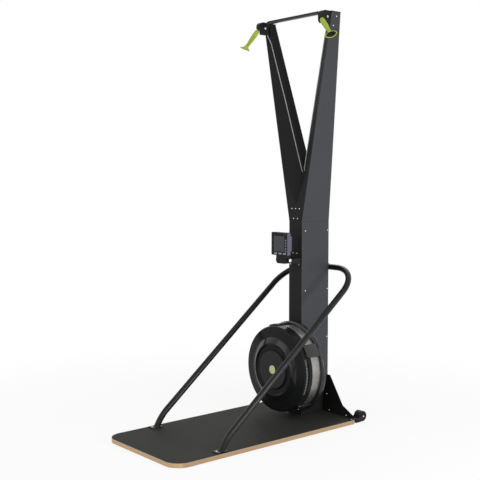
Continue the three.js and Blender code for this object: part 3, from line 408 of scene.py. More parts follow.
@dataclass(frozen=True)
class FoldedCoat(PowderCoat):
    """Powder paint on an arm's channel, with painted shade behind the crease, which leans with the arm."""

    crotch: Pair = (0.445, 1.352)
    lean: float = 0.0699
    crease: Pair = (0.0015, 0.004)
    # The share of the colour that the painted shade behind the crease keeps.
    behind: float = 0.2

    def painted(self, graph: Graph, tint: Socket) -> Socket:
        """The paint's colour in front of the crease, and darker behind it as painted shade.

        Args:
            graph: The material's graph.
            tint: The colour in front.

        Returns:
            The colour.
        """
        _, y, z = graph.axes()
        crease_y, crease_z = self.crotch
        share = (y - crease_y + (z - crease_z) * self.lean).spread(*self.crease)
        # Painted shade: the inner web behind the crease is painted darker, as if it lay in shade.
        return graph.blend(share, tint, shade(self.colour, self.behind))


@dataclass(frozen=True)
class Laminate(Finish):
    """A hard, slip-resistant sheet with a fine pebble and a pale core that shows at its edge."""

    skin: Pair = (0.0222, 0.0224)
    core: Colour = (0.22, 0.225, 0.2)

    def paint(self, graph: Graph) -> None:
        """Fills the material's graph.

        Args:
            graph: The empty graph.
        """
        cloud = graph.noise(3.5, detail=4.0)
        pebble = graph.speckle(520.0)
        scuffs = graph.noise(14.0, detail=5.0, stretch=(1.0, 0.25, 1.0)).spread(0.58, 0.75)
        worn = graph.blend(scuffs * 0.12, self.tint(graph, cloud, 0.86, 1.14), shade(self.colour, 1.5))
        _, _, z = graph.axes()
        graph.surface(
            self.gloss,
            Base_Color=graph.blend(z.spread(*self.skin), self.core, worn),
            Roughness=cloud * 0.08 + pebble * 0.12 + (self.roughness - 0.1),
            Normal=graph.relief(pebble, depth=0.00012, strength=0.7),
        )


@dataclass(frozen=True)
class Plywood(Finish):
    """The cut edge of birch plywood: thin plies, alternately dark and light, and darker on its long sides."""

    ply: float = 0.0021
    pale: Colour = (0.64, 0.44, 0.255)
    rim: Colour = (0.55, 0.5, 0.4)
    rim_z: Pair = (0.0186, 0.0192)
    side_x: Pair = (0.286, 0.298)

    def paint(self, graph: Graph) -> None:
        """Fills the material's graph.

        Args:
            graph: The empty graph.
        """
        x, _, z = graph.axes()
        drift = graph.noise(16.0, stretch=(1.0, 1.0, 0.2)) * 0.0006
        layer = (z + drift) / self.ply
        cross = (layer / 2.0).fraction() < 0.5
        glue = layer.fraction().spread(0.86, 0.98) * 0.45
        fibres = graph.noise(420.0, detail=4.0, stretch=(1.0, 1.0, 6.0))
        knots = graph.noise(35.0, detail=3.0, stretch=(1.0, 1.0, 5.0)).spread(0.6, 0.72) * 0.3
        light = graph.blend(fibres, shade(self.pale, 0.92), shade(self.pale, 1.06))
        plies = graph.blend(cross * 0.8, light, self.tint(graph, fibres, 0.82, 1.08))
        lined = graph.blend(glue + knots, plies, shade(self.colour, 0.5))
        sealed = graph.blend(z.spread(*self.rim_z) * 0.85, lined, self.rim)
        graph.surface(
            self.gloss,
            Base_Color=graph.blend(abs(x).spread(*self.side_x) * 0.5, sealed, shade(self.colour, 0.38)),
            Roughness=fibres * 0.15 + (self.roughness - 0.07),
            Normal=graph.relief(fibres, depth=0.00012, strength=0.5),
        )


@dataclass(frozen=True)
class Moulding(Finish):
    """Moulded plastic: glossy, or with the fine spark grain of its mould."""

    grain: float = 0.00003
    grains: float = 1400.0

    def paint(self, graph: Graph) -> None:
        """Fills the material's graph.

        Args:
            graph: The empty graph.
        """
        cloud = graph.noise(11.0, detail=3.0)
        spark = graph.noise(self.grains)
        graph.surface(
            self.gloss,
            Base_Color=self.tint(graph, cloud * 0.6 + spark * 0.4, 0.9, 1.1),
            Roughness=cloud * 0.07 + spark * 0.05 + (self.roughness - 0.06),
            Normal=graph.relief(spark, self.grain, strength=0.7),
        )


@dataclass(frozen=True)
class TwoTone(Finish):
    """A moulded case with a dark front and a paler shell behind a parting line."""

    parting: Pair = (0.2633, 0.2639)
    shell: Colour = (0.105, 0.098, 0.14)

    def paint(self, graph: Graph) -> None:
        """Fills the material's graph.

        Args:
            graph: The empty graph.
        """
        _, y, _ = graph.axes()
        behind = y.spread(*self.parting)
        cloud = graph.noise(30.0, detail=3.0)
        spark = graph.noise(1400.0)
        shell = graph.blend(cloud * 0.6 + spark * 0.4, shade(self.shell, 0.86), shade(self.shell, 1.12))
        graph.surface(
            self.gloss,
            Base_Color=graph.blend(behind, self.tint(graph, cloud, 0.9, 1.1), shell),
            Roughness=behind * 0.16 + cloud * 0.06 + (self.roughness - 0.03),
            Normal=graph.relief(spark, depth=0.00003, strength=0.6),
        )


@dataclass(frozen=True)
class Metal(Finish):
    """Bright metal, plated or turned, with fine tool marks."""

    def paint(self, graph: Graph) -> None:
        """Fills the material's graph.

        Args:
            graph: The empty graph.
        """
        cloud = graph.noise(60.0, detail=3.0)
        marks = graph.noise(2400.0, stretch=(1.0, 0.12, 1.0))
        graph.surface(
            self.gloss,
            Base_Color=self.tint(graph, cloud * 0.5 + marks * 0.5, 0.86, 1.1),
            Metallic=1.0,
            Roughness=cloud * 0.12 + marks * 0.1 + (self.roughness - 0.1),
            Normal=graph.relief(marks, depth=0.00001, strength=0.6),
        )


@dataclass(frozen=True)
class Perforated(Finish):
    """A bright band with staggered rows of small holes round the flywheel's line, painted as dark dots of
    shade.
    """

    pitch: float = 0.0062
    row_share: float = 0.866
    hole: float = 0.0019
    hole_colour: Colour = (0.012, 0.012, 0.012)
    axis_z: float = 0.2888
    radius: float = 0.2265

    def paint(self, graph: Graph) -> None:
        """Fills the material's graph.

        Args:
            graph: The empty graph.
        """
        x, y, z = graph.axes()
        rows = self.pitch * self.row_share
        arc = (z - self.axis_z).angle_over(x) * (self.radius / self.pitch)
        row = (y + 1.0) / rows
        shift = (row.whole() * 0.5).fraction()
        across = ((arc + shift).fraction() - 0.5) * self.pitch
        along = (row.fraction() - 0.5) * rows
        far = (across * across + along * along).root()
        hole = 1.0 - far.spread(self.hole * 0.9, self.hole * 1.12)
        cloud = graph.noise(25.0, detail=3.0)
        graph.surface(
            self.gloss,
            # The holes aren't cut: their dark colour is painted shade of the housing's inside, seen through
            # them.
            Base_Color=graph.blend(hole * 0.92, self.tint(graph, cloud, 0.85, 1.12), self.hole_colour),
            Metallic=1.0 - hole,
            Roughness=hole * 0.3 + cloud * 0.12 + (self.roughness - 0.06),
            Normal=graph.relief(1.0 - hole, depth=0.0004, strength=0.8),
        )


@dataclass(frozen=True)
class Braid(Finish):
    """A braided cord: two sets of strands that wind opposite ways."""

    strands: float = 8.0
    lay: float = 0.0032

    def paint(self, graph: Graph) -> None:
        """Fills the material's graph.

        Args:
            graph: The empty graph.
        """
        turn, run, _ = graph.axes("UV")
        first = ((turn * self.strands + run / self.lay) * math.tau).sine()
        second = ((turn * self.strands - run / self.lay) * math.tau).sine()
        weave = first * second * 0.5 + 0.5
        fuzz = graph.noise(1800.0)
        graph.surface(
            self.gloss,
            Base_Color=self.tint(graph, weave * 0.7 + fuzz * 0.3, 0.6, 1.15),
            Roughness=fuzz * 0.1 + (self.roughness - 0.05),
            Normal=graph.relief(weave, depth=0.0004, strength=0.8),
        )


@dataclass(frozen=True)
class Display(Finish):
    """A reflective display of small cells behind clear plastic."""

    cell: float = 0.0011
    line: float = 0.12

    def paint(self, graph: Graph) -> None:
        """Fills the material's graph.

        Args:
            graph: The empty graph.
        """
        x, _, z = graph.axes()
        cells = ((x / self.cell).fraction() > self.line) * ((z / self.cell).fraction() > self.line)
        cloud = graph.noise(22.0)
        graph.surface(
            self.gloss,
            Base_Color=graph.blend(cells * 0.12, self.tint(graph, cloud, 0.9, 1.1), shade(self.colour, 0.72)),
            Roughness=cloud * 0.06 + self.roughness,
            Coat_Weight=0.15,
            Coat_Roughness=0.06,
        )


class Finishes:
    """All the finishes of the machine."""

    black_coat = PowderCoat("black powder coat", "black_metal", (0.013, 0.013, 0.014), 0.45, 0.1)
    # The arms' channels get painted shade behind their crease.
    channel_coat = FoldedCoat("black channel coat", "black_metal", (0.013, 0.013, 0.014), 0.45, 0.1)
    tube_coat = PowderCoat("black tube coat", "black_metal", (0.008, 0.008, 0.0085), 0.28, 0.2, 0.000004)
    bar_coat = PowderCoat("black bar coat", "black_metal", (0.026, 0.027, 0.028), 0.26, 0.3)
    slate_coat = PowderCoat("slate powder coat", "slate_metal", (0.0445, 0.0475, 0.053), 0.4, 0.14)
    laminate = Laminate("deck laminate", "deck_laminate", (0.029, 0.0295, 0.0262), 0.62, 0.06)
    plywood = Plywood("plywood edge", "deck_wood", (0.52, 0.325, 0.165), 0.58, 0.3)
    gloss_black = Moulding("glossy black moulding", "gloss_black_plastic", (0.009, 0.0095, 0.0095), 0.24, 0.1,
                           0.000006)
    slope_black = Moulding("polished slope moulding", "gloss_black_plastic", (0.009, 0.0095, 0.0095), 0.14,
                           0.28)
    disc_black = Moulding("matt black disc", "black_plastic", (0.029, 0.029, 0.029), 0.6, 0.12, 0.00008,
                          900.0)
    channel_black = Moulding("dull channel moulding", "black_plastic", (0.01, 0.0115, 0.0105), 0.5, 0.1)
    rear_black = Moulding("rear shell moulding", "black_plastic", (0.013, 0.0135, 0.014), 0.2, 0.5)
    black_plastic = Moulding("black moulding", "black_plastic", (0.011, 0.011, 0.012), 0.38, 0.12)
    # Painted shade: a dark lining that stands for the shade inside a grip's hollow foot.
    hollow = Moulding("black foot lining", "black_plastic", (0.016, 0.016, 0.016), 0.7, 0.1)
    scale = Moulding("scale plate", "black_plastic", (0.05, 0.055, 0.053), 0.35, 0.2)
    numbers = Moulding("pale print", "black_plastic", (0.5, 0.5, 0.48), 0.6, 0.2)
    monitor_case = TwoTone("monitor case", "monitor_plastic", (0.011, 0.011, 0.014), 0.34, 0.12)
    monitor_black = Moulding("monitor front", "monitor_plastic", (0.011, 0.011, 0.014), 0.34, 0.12)
    display = Display("monitor display", "display", (0.042, 0.052, 0.054), 0.2, 0.2)
    side_key = Moulding("side key rubber", "button_rubber", (0.16, 0.155, 0.22), 0.6, 0.3)
    menu_key = Moulding("menu key rubber", "button_rubber", (0.3, 0.3, 0.33), 0.6, 0.3)
    grip = Moulding("green grip", "grip_green", (0.37, 0.475, 0.042), 0.46, 0.3, 0.00008, 1100.0)
    # Painted shade of a groove along the grip's inner face.
    grip_line = Moulding("grip inlay", "grip_green", (0.05, 0.065, 0.012), 0.6, 0.3)
    badge = Moulding("pale badge", "badge", (0.6, 0.66, 0.33), 0.4, 0.4, 0.00003, 700.0)
    knob = Moulding("white knob", "knob_white", (0.74, 0.74, 0.72), 0.36, 0.4)
    wheel = Moulding("wheel plastic", "wheel_plastic", (0.02, 0.02, 0.021), 0.5, 0.15)
    steel = Metal("plated steel", "steel", (0.6, 0.6, 0.58), 0.34)
    fan = Metal("fan steel", "flywheel_metal", (0.1, 0.1, 0.105), 0.45)
    mesh = Perforated("perforated band", "mesh", (0.41, 0.4, 0.375), 0.36)
    cord = Braid("braided cord", "cord", (0.46, 0.46, 0.44), 0.72, 0.25)
    elastic = Finish("elastic cord", "elastic", (0.03, 0.03, 0.03), 0.8, 0.2)


# Shaping


def curve(controls: Sequence[Vector], steps: int) -> list[Vector]:
    """Traces a Bezier curve.

    Args:
        controls: Its ends and the controls between them.
        steps: Its steps.

    Returns:
        The points from end to end.
    """
    made = []
    for i in range(steps + 1):
        points = list(controls)
        while len(points) > 1:
            points = [a.lerp(b, i / steps) for a, b in zip(points, points[1:])]
        made.append(points[0])
    return made


def filleted(points: Iterable[Sequence[float]], radius: float, pieces: int = 5,
             loop: bool = True) -> list[Vector]:
    """Rounds the corners of a line.

    Args:
        points: The corners, in two or three dimensions.
        radius: How far from a corner its rounding starts.
        pieces: The steps of each rounding.
        loop: Whether the line closes on itself.

    Returns:
        The rounded line's points.
    """
    straight, most = 0.02, 0.499
    corners = [Vector(point) for point in points]
    made: list[Vector] = []
    for i, corner in enumerate(corners):
        before, after = corners[i - 1] - corner, corners[(i + 1) % len(corners)] - corner
        if (not loop and i in (0, len(corners) - 1)) or before.angle(-after) < straight:
            made.append(corner)
            continue
        reach = min(radius, before.length * most, after.length * most)
        start, end = corner + before.normalized() * reach, corner + after.normalized() * reach
        made += curve([start, corner, end], pieces)
    return made


def disc(radius: float, sides: int) -> list[Pair]:
    """The points of a circle round the origin."""
    angles = [math.tau * i / sides for i in range(sides)]
    return [(radius * math.cos(angle), radius * math.sin(angle)) for angle in angles]


def box(left: float, low: float, right: float, high: float) -> list[Pair]:
    """The corners of an upright rectangle, round it from its lower left one."""
    return [(left, low), (right, low), (right, high), (left, high)]


def mirrored(half: Sequence[Pair], left: float, right: float) -> list[Pair]:
    """A lathe's profile from half of it, which starts at one of the two ends."""
    return [*half, *((radius, left + right - along) for radius, along in reversed(half))]


class Form:
    """A mesh being shaped in millimetres, with Y from the deck's front edge."""

    def __init__(self) -> None:
        """Starts empty. The corners that the last shape added are kept in made."""
        self.bm = bmesh.new()
        self.made: list[Corner] = []

    @staticmethod
    def of_node(name: str) -> "Form":
        """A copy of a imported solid's mesh, with its corners joined and its flat faces whole.

        Args:
            name: The node's name.

        Returns:
            The form.
        """
        form = Form()
        form.bm.from_mesh(NODES[name].data)
        bmesh.ops.scale(form.bm, vec=(1 / METRES,) * 3, verts=form.bm.verts)
        bmesh.ops.translate(form.bm, vec=(0, DECK_FRONT, 0), verts=form.bm.verts)
        bmesh.ops.remove_doubles(form.bm, verts=form.bm.verts, dist=0.01)
        bmesh.ops.dissolve_limit(form.bm, angle_limit=math.radians(0.6), verts=form.bm.verts,
                                 edges=form.bm.edges)
        return form

    def note(self, before: set[Corner]) -> None:
        """Keeps the corners that weren't there before."""
        self.made = [vert for vert in self.bm.verts if vert not in before]

    def lathe(
        self,
        profile: Iterable[Sequence[float]],
        origin: Sequence[float],
        axis: Vector,
        steps: int,
        loop: bool = False,
        start: Vector | None = None,
        degrees: float = 360.0,
    ) -> "Form":
        """Turns a profile about an axis.

        Args:
            profile: Each point's radius and place along the axis.
            origin: The axis's origin.
            axis: The axis's direction.
            steps: The steps of the turn.
            loop: Whether the profile closes on itself, for a piece with a bore.
            start: The direction of the turn's start.
            degrees: How far it turns.

        Returns:
            The form itself.
        """
        before = set(self.bm.verts)
        centre, along = Vector(origin), axis.normalized()
        side = (start or (AXIS_X if abs(along.x) < 0.7 else AXIS_Z).cross(along)).normalized()
        verts = [self.bm.verts.new(centre + side * radius + along * place) for radius, place in profile]
        line = [*verts, verts[0]] if loop else verts
        edges = [self.bm.edges.new(pair) for pair in zip(line, line[1:])]
        full = abs(degrees) >= 360.0
        bmesh.ops.spin(self.bm, geom=verts + edges, cent=centre, axis=along, angle=math.radians(degrees),
                       steps=steps, use_merge=full)
        self.note(before)
        bmesh.ops.remove_doubles(self.bm, verts=self.made, dist=WELD)
        self.note(before)
        if not full:
            ends = [e for e in self.bm.edges if e.is_boundary and e.verts[0] not in before]
            bmesh.ops.holes_fill(self.bm, edges=ends)
        return self

    def slab(self, outline: Iterable[Sequence[float]], depth: Sequence[float], soft: float = 0.0,
             pieces: int = 2) -> "Form":
        """Extrudes a flat outline.

        Args:
            outline: The outline's points.
            depth: The way to the far face.
            soft: The rounding of the two rims.
            pieces: The steps of the rounding.

        Returns:
            The form itself.
        """
        before = set(self.bm.verts)
        face = self.bm.faces.new([self.bm.verts.new(point) for point in outline])
        grown = bmesh.ops.extrude_face_region(self.bm, geom=[face])["geom"]
        bmesh.ops.translate(self.bm, vec=depth, verts=[v for v in grown if isinstance(v, Corner)])
        self.note(before)
        faces = dict.fromkeys(f for v in self.made for f in v.link_faces)
        bmesh.ops.recalc_face_normals(self.bm, faces=list(faces))
        if soft > 0:
            axis = Vector(depth).normalized()
            rims = dict.fromkeys(e for v in self.made for e in v.link_edges
                                 if abs((e.verts[1].co - e.verts[0].co).normalized().dot(axis)) < 0.5)
            self.bevel(rims, soft, pieces)
            self.note(before)
        return self

    def bevel(self, edges: Iterable[bmesh.types.BMEdge], width: float, pieces: int) -> None:
        """Rounds edges to a width, in steps."""
        bmesh.ops.bevel(self.bm, geom=list(edges), offset=width, offset_type="OFFSET", segments=pieces,
                        profile=0.5, affect="EDGES", clamp_overlap=True, material=-1)

    def soften(self, width: float, pieces: int = 2, angle: float = 28.0) -> "Form":
        """Rounds every edge that is sharper than an angle.

        Args:
            width: The rounding's width.
            pieces: Its steps.
            angle: The least angle, in degrees.

        Returns:
            The form itself.
        """
        least = math.radians(angle)
        self.bevel([e for e in self.bm.edges if e.calc_face_angle(0.0) > least], width, pieces)
        return self

    def sweep(self, path: Sequence[Vector], section: Sequence[Pair], up: Vector) -> "Form":
        """Carries a section along a path, with turns round it and metres along it as its UV map.

        Args:
            path: The path's points.
            section: The section's points, across and up.
            up: The direction that the section's second axis starts near.

        Returns:
            The form itself.
        """
        ways = [(b - a).normalized() for a, b in zip(path, path[1:])]
        across = ways[0].cross(up).normalized()
        frames, lengths, run = [], [], 0.0
        for i, point in enumerate(path):
            way = (ways[max(i - 1, 0)] + ways[min(i, len(ways) - 1)]).normalized()
            across = (across - way * across.dot(way)).normalized()
            turn = Matrix((across, across.cross(way), way)).transposed().to_4x4()
            frames.append(Matrix.Translation(point) @ turn)
            run += (point - path[i - 1]).length if i else 0.0
            lengths.append(run)
        spots: dict[Corner, Pair] = {}
        ring = [self.bm.verts.new(frames[0] @ Vector((u, v, 0.0))) for u, v in section]
        cap = self.bm.faces.new(ring)
        for level, frame in enumerate(frames):
            if level:
                grown = bmesh.ops.extrude_face_region(self.bm, geom=[cap])["geom"]
                ring = [item for item in grown if isinstance(item, Corner)]
                cap = next(item for item in grown if isinstance(item, bmesh.types.BMFace))
                bmesh.ops.transform(self.bm, matrix=frame @ frames[level - 1].inverted(), verts=ring)
            back = frame.inverted()
            for vert in ring:
                local = back @ vert.co
                spots[vert] = (math.atan2(local.y, local.x) / math.tau % 1.0, lengths[level] * METRES)
        layer = self.bm.loops.layers.uv.verify()
        for face in {f for vert in spots for f in vert.link_faces}:
            turns = [spots[loop.vert][0] for loop in face.loops]
            wraps = max(turns) - min(turns) > 0.5
            for loop, turn in zip(face.loops, turns):
                loop[layer].uv = (turn + 1.0 if wraps and turn < 0.5 else turn, spots[loop.vert][1])
        return self

    def screws(self, places: Iterable[Sequence[float]], normal: Vector, size: Screw) -> "Form":
        """Adds button-head screws with hexagonal sockets, which face the same way.

        Args:
            places: Where their seats are.
            normal: The way that their heads face.
            size: Their size.

        Returns:
            The form itself.
        """
        radius, height = size.value
        socket, seat, sixth = radius / 2, -0.4, math.radians(60.0)
        profile = [(0.0, seat), (radius * 0.96, seat), (radius, height * 0.3),
                   (radius * 0.88, height * 0.68), (radius * 0.66, height * 0.93), (socket, height),
                   (socket, height * 0.45), (0.0, height * 0.4)]
        upright = normal.to_track_quat("Z", "Y").to_matrix().to_4x4().inverted()
        for place in places:
            back = upright @ Matrix.Translation(-Vector(place))
            front = back.inverted()
            for vert in self.lathe(profile, place, normal, steps=24).made:
                local = back @ vert.co
                if abs(math.hypot(local.x, local.y) - socket) < 0.01:
                    angle = math.atan2(local.y, local.x)
                    flat = math.cos(sixth / 2) / math.cos(angle % sixth - sixth / 2)
                    vert.co = front @ Vector((local.x * flat, local.y * flat, local.z))
        return self

    def on(self, side: Side) -> "Form":
        """Takes a form of the right side to a side.

        Args:
            side: The side.

        Returns:
            The form itself.
        """
        if side is Side.LEFT:
            bmesh.ops.scale(self.bm, vec=(-1, 1, 1), verts=self.bm.verts)
            bmesh.ops.reverse_faces(self.bm, faces=self.bm.faces)
        return self

    def finish(
        self,
        name: str,
        body: str | None,
        look: Finish,
        stands_for: Sequence[str] = (),
        crease: float = CREASE,
        even: bool = False,
    ) -> bpy.types.Object:
        """Makes the piece.

        Args:
            name: The piece's name.
            body: The body that it rides on, or None for no body.
            look: Its finish.
            stands_for: The nodes that it replaces.
            crease: The angle above which an edge stays sharp, in degrees.
            even: Whether large faces keep flat shading beside their roundings.

        Returns:
            The piece's object.
        """
        bm = self.bm
        bmesh.ops.remove_doubles(bm, verts=bm.verts, dist=0.0008)
        bmesh.ops.recalc_face_normals(bm, faces=bm.faces)
        for face in bm.faces:
            face.smooth = True
        limit = math.radians(crease)
        for edge in bm.edges:
            edge.smooth = edge.is_manifold and edge.calc_face_angle(0.0) < limit
        open_edges = sum(1 for e in bm.edges if not e.is_manifold)
        bmesh.ops.translate(bm, vec=(0, -DECK_FRONT, 0), verts=bm.verts)
        bmesh.ops.scale(bm, vec=(METRES,) * 3, verts=bm.verts)
        mesh = bpy.data.meshes.new(name)
        bm.to_mesh(mesh)
        bm.free()
        piece = bpy.data.objects.new(name, mesh)
        bpy.context.scene.collection.objects.link(piece)
        mesh.materials.append(look.material())
        if even:
            piece.modifiers.new("even shading", "WEIGHTED_NORMAL").keep_sharp = True
        if body is not None:
            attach(piece, body)
        if stands_for:
            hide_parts(*stands_for)
        log.info("%s: %d faces, %d open edges", name, len(mesh.polygons), open_edges)
        return piece

    def stand_in(self, node: str, body: str | None, look: Finish, crease: float = CREASE,
                 even: bool = False) -> bpy.types.Object:
        """Makes the piece that replaces one node and has its name."""
        return self.finish(f"{node}_piece", body, look, (node,), crease, even)


NODES: dict[str, bpy.types.Object] = {}


# Sub-assemblies


@dataclass(frozen=True)
class Rounded:
    """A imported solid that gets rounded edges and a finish."""

    name: str
    look: Finish
    width: float
    pieces: int = 2
    body: str = "frame"

    def build(self) -> None:
        """Replaces the solid by a copy with rounded edges."""
        form = Form.of_node(self.name).soften(self.width, self.pieces)
        form.stand_in(self.name, self.body, self.look, even=True)


def pair(name: str, look: Finish, width: float, pieces: int = 2) -> tuple[Rounded, ...]:
    """The solids of one kind on the right and on the left."""
    return tuple(Rounded(f"{name}_{side.word}", look, width, pieces) for side in Side)


def keys(name: str, look: Finish, count: int) -> tuple[Rounded, ...]:
    """Numbered keys, each on a body of its own."""
    return tuple(Rounded(f"{name}_{i + 1}", look, 0.9, 3, f"{name}_{i + 1}") for i in range(count))


class Assembly:
    """A sub-assembly, with the solids of it that only need rounded edges and a finish."""

    solids: tuple[Rounded, ...] = ()

    def build(self) -> None:
        """Rounds the solids and shapes the rest."""
        for solid in self.solids:
            solid.build()
        self.shape()

    def shape(self) -> None:
        """Shapes the pieces that are more than a rounded solid."""


@dataclass
class Deck(Assembly):
    """The plywood deck and its laminate."""

    solids: tuple[Rounded, ...] = (
        Rounded("deck_board", Finishes.plywood, 0.8, 3),
        Rounded("deck_surface", Finishes.laminate, 0.48),
    )


@dataclass
class Handrail(Assembly):
    """The tube hoop with its foot plates, its weld beads, its clamp and its screws."""

    solids: tuple[Rounded, ...] = (Rounded("rail_clamp", Finishes.black_coat, 0.8),)
    radius: float = 16.0
    half_span: float = 268.0
    foot_y: float = 288.0
    knee: Pair = (319.0, 77.5)
    cross: Pair = (1235.3, 818.0)
    bend: float = 170.0
    knee_bend: float = 45.0
    plate: Triple = (46.0, 64.0, 4.0)
    plate_rear: float = 24.0
    plate_corner: float = 6.0
    plate_screw: float = 12.0
    bead: float = 4.0
    bead_sunk: float = 1.0
    bead_shift: float = 2.5
    flange: float = 4.0
    clamp_reach: float = 32.0

    def half_path(self, side: Side) -> list[Vector]:
        """The tube's centre line on one side, from its foot to the bend's end.

        Args:
            side: The side.

        Returns:
            The points.
        """
        x = side.x(self.half_span)
        foot, knee = Vector((x, self.foot_y, DECK_TOP)), Vector((x, *self.knee))
        corner = Vector((x, *self.cross))
        rise, leg = (knee - foot).normalized(), (corner - knee).normalized()
        start, end = corner - leg * self.bend, Vector((side.x(self.half_span - self.bend), *self.cross))
        pull = 4 * (math.sqrt(2) - 1) / 3
        return [
            foot - rise * self.radius,
            *curve([knee - rise * self.knee_bend, knee, knee + leg * self.knee_bend], steps=10),
            *curve([start, start.lerp(corner, pull), end.lerp(corner, pull), end], steps=28),
        ]

    def shape(self) -> None:
        """Builds the hoop, its plates, its beads and its screws."""
        path = [*self.half_path(Side.RIGHT), *reversed(self.half_path(Side.LEFT))]
        form = Form().sweep(path, disc(self.radius, sides=32), AXIS_X)
        everything = [*form.bm.verts, *form.bm.edges, *form.bm.faces]
        bmesh.ops.bisect_plane(form.bm, geom=everything, plane_co=(0, 0, DECK_TOP), plane_no=(0, 0, -1),
                               clear_outer=True)
        bmesh.ops.holes_fill(form.bm, edges=[e for e in form.bm.edges if e.is_boundary])
        width, length, thick = self.plate
        rear, top = self.foot_y + self.plate_rear, DECK_TOP + thick
        bead = [(self.radius - self.bead_sunk + across, up) for across, up in disc(self.bead, sides=10)]
        screws = Form()
        for side in Side:
            x = side.x(self.half_span)
            corners = box(x - width / 2, rear - length, x + width / 2, rear)
            outline = [(*point, DECK_TOP) for point in filleted(corners, self.plate_corner)]
            form.slab(outline, (0, 0, thick), soft=0.8)
            form.lathe(bead, (x, self.foot_y + self.bead_shift, top), AXIS_Z, steps=48, loop=True)
            screws.screws([(x, rear - length + self.plate_screw, top)], AXIS_Z, Screw.FOOT)
        form.finish("handrail_tube", "frame", Finishes.tube_coat, ("handrail",))
        (y, z), reach = self.cross, self.clamp_reach
        seats = [(0, y - self.radius + self.flange, height) for height in (z + reach, z - reach)]
        screws.screws(seats, AXIS_Y, Screw.CLAMP).finish("handrail_screws", "frame", Finishes.steel)


@dataclass
class RearFrame(Assembly):
    """The plate behind the deck, with the two transport wheels in their forks."""

    solids: tuple[Rounded, ...] = (
        Rounded("rear_plate", Finishes.black_coat, 0.8),
        *pair("wheel_bracket", Finishes.black_coat, 0.7),
    )
    plate_y: float = 1180.3
    plate_screws: tuple[Pair, ...] = ((80, 122), (102, 35), (229, 31))
    fork_screw: Triple = (292.5, 1154.3, 27.1)
    axis: Triple = (0.0, 1242.5, 29.0)
    outer_x: float = 298.5
    fork: float = 4.0
    width: float = 42.0
    radius: float = 27.5
    tread: float = 4.0
    hub: float = 12.0
    axle: float = 5.0
    recess: float = 4.0
    draft: float = 0.8
    ribs: int = 6
    rib_half: float = 1.3
    rib_inset: float = 0.6

    def wheel(self, side: Side) -> None:
        """Builds one wheel with its ribs, and its axle.

        Args:
            side: The side.
        """
        left, right = self.outer_x - self.fork - GAP - self.width, self.outer_x - self.fork - GAP
        hub, rim, floor = self.hub, self.radius - self.tread, left + self.recess
        bore = self.axle + GAP
        half = [(bore, left), (hub, left), (hub + self.draft, floor), (rim - self.draft, floor), (rim, left),
                (self.radius, left)]
        profile = filleted(mirrored(half, left, right), radius=1.75, pieces=3)
        form = Form().lathe(profile, self.axis, AXIS_X, steps=64, loop=True)
        flat = box(-self.rib_half, hub, self.rib_half, rim - 0.5)
        for i in range(self.ribs):
            turn = Matrix.Rotation(math.tau * i / self.ribs, 3, "X")
            deep = self.recess - GAP
            for x, depth in ((left + self.rib_inset, deep), (right - self.rib_inset, -deep)):
                form.slab([turn @ Vector((x, a, b)) + Vector(self.axis) for a, b in flat], (depth, 0, 0))
        form.on(side).stand_in(f"wheel_{side.word}", f"wheel_{side.word}", Finishes.wheel)
        inner = left - GAP - self.fork
        rod = mirrored([(0, inner), (self.axle, inner)], inner, self.outer_x)
        rod = filleted(rod, radius=1.0, pieces=3, loop=False)
        axle = Form().lathe(rod, self.axis, AXIS_X, steps=32).on(side)
        axle.stand_in(f"wheel_axle_{side.word}", "frame", Finishes.steel)

    def shape(self) -> None:
        """Builds the wheels and the screws."""
        screws = Form()
        for side in Side:
            self.wheel(side)
            screws.screws([(side.x(x), self.plate_y, z) for x, z in self.plate_screws], -AXIS_Y, Screw.PLATE)
            screws.screws([side.point(self.fork_screw)], AXIS_Z, Screw.FORK)
        screws.finish("rear_screws", "frame", Finishes.steel)


@dataclass
class Column(Assembly):
    """The folded column with its side panels, and the black sheet round its foot."""

    solids: tuple[Rounded, ...] = (
        Rounded("column_front", Finishes.black_coat, 0.9),
        Rounded("column_rear", Finishes.black_coat, 0.9),
        *pair("side_panel", Finishes.slate_coat, 0.7),
    )
    panel_screws: tuple[Pair, ...] = ((1041.5, 1023.8), (1209.5, 1023.0), (1041.6, 701.0), (1209.5, 700.0),
                                      (1041.6, 431.8), (1209.5, 431.8))
    front_screws: tuple[Pair, ...] = ((-29, 1143), (0, 1143), (29, 1143), (-15.6, 1090), (15.6, 1090))
    shoe_top: float = 229.0
    shoe_rear: float = 1180.1
    shoe_thickness: float = 1.2
    shoe_gap: float = 0.05

    def shape(self) -> None:
        """Builds the screws and the shoe, a channel that is open to the rear."""
        screws = Form()
        for side in Side:
            places = [(side.x(COLUMN_HALF), y, z) for y, z in self.panel_screws]
            screws.screws(places, AXIS_X * side.value, Screw.SHEET)
        screws.screws([(x, COLUMN_FRONT, z) for x, z in self.front_screws], -AXIS_Y, Screw.SHEET)
        screws.finish("column_screws", "frame", Finishes.steel)
        inner, outer = COLUMN_HALF + self.shoe_gap, COLUMN_HALF + self.shoe_thickness
        front, back, rear = COLUMN_FRONT - self.shoe_thickness, COLUMN_FRONT - self.shoe_gap, self.shoe_rear
        outline = [(outer, rear), (outer, front), (-outer, front), (-outer, rear),
                   (-inner, rear), (-inner, back), (inner, back), (inner, rear)]
        form = Form().slab([(x, y, DECK_TOP) for x, y in outline], (0, 0, self.shoe_top - DECK_TOP))
        form.soften(width=0.35, angle=40.0).finish("column_shoe", "frame", Finishes.black_coat, even=True)


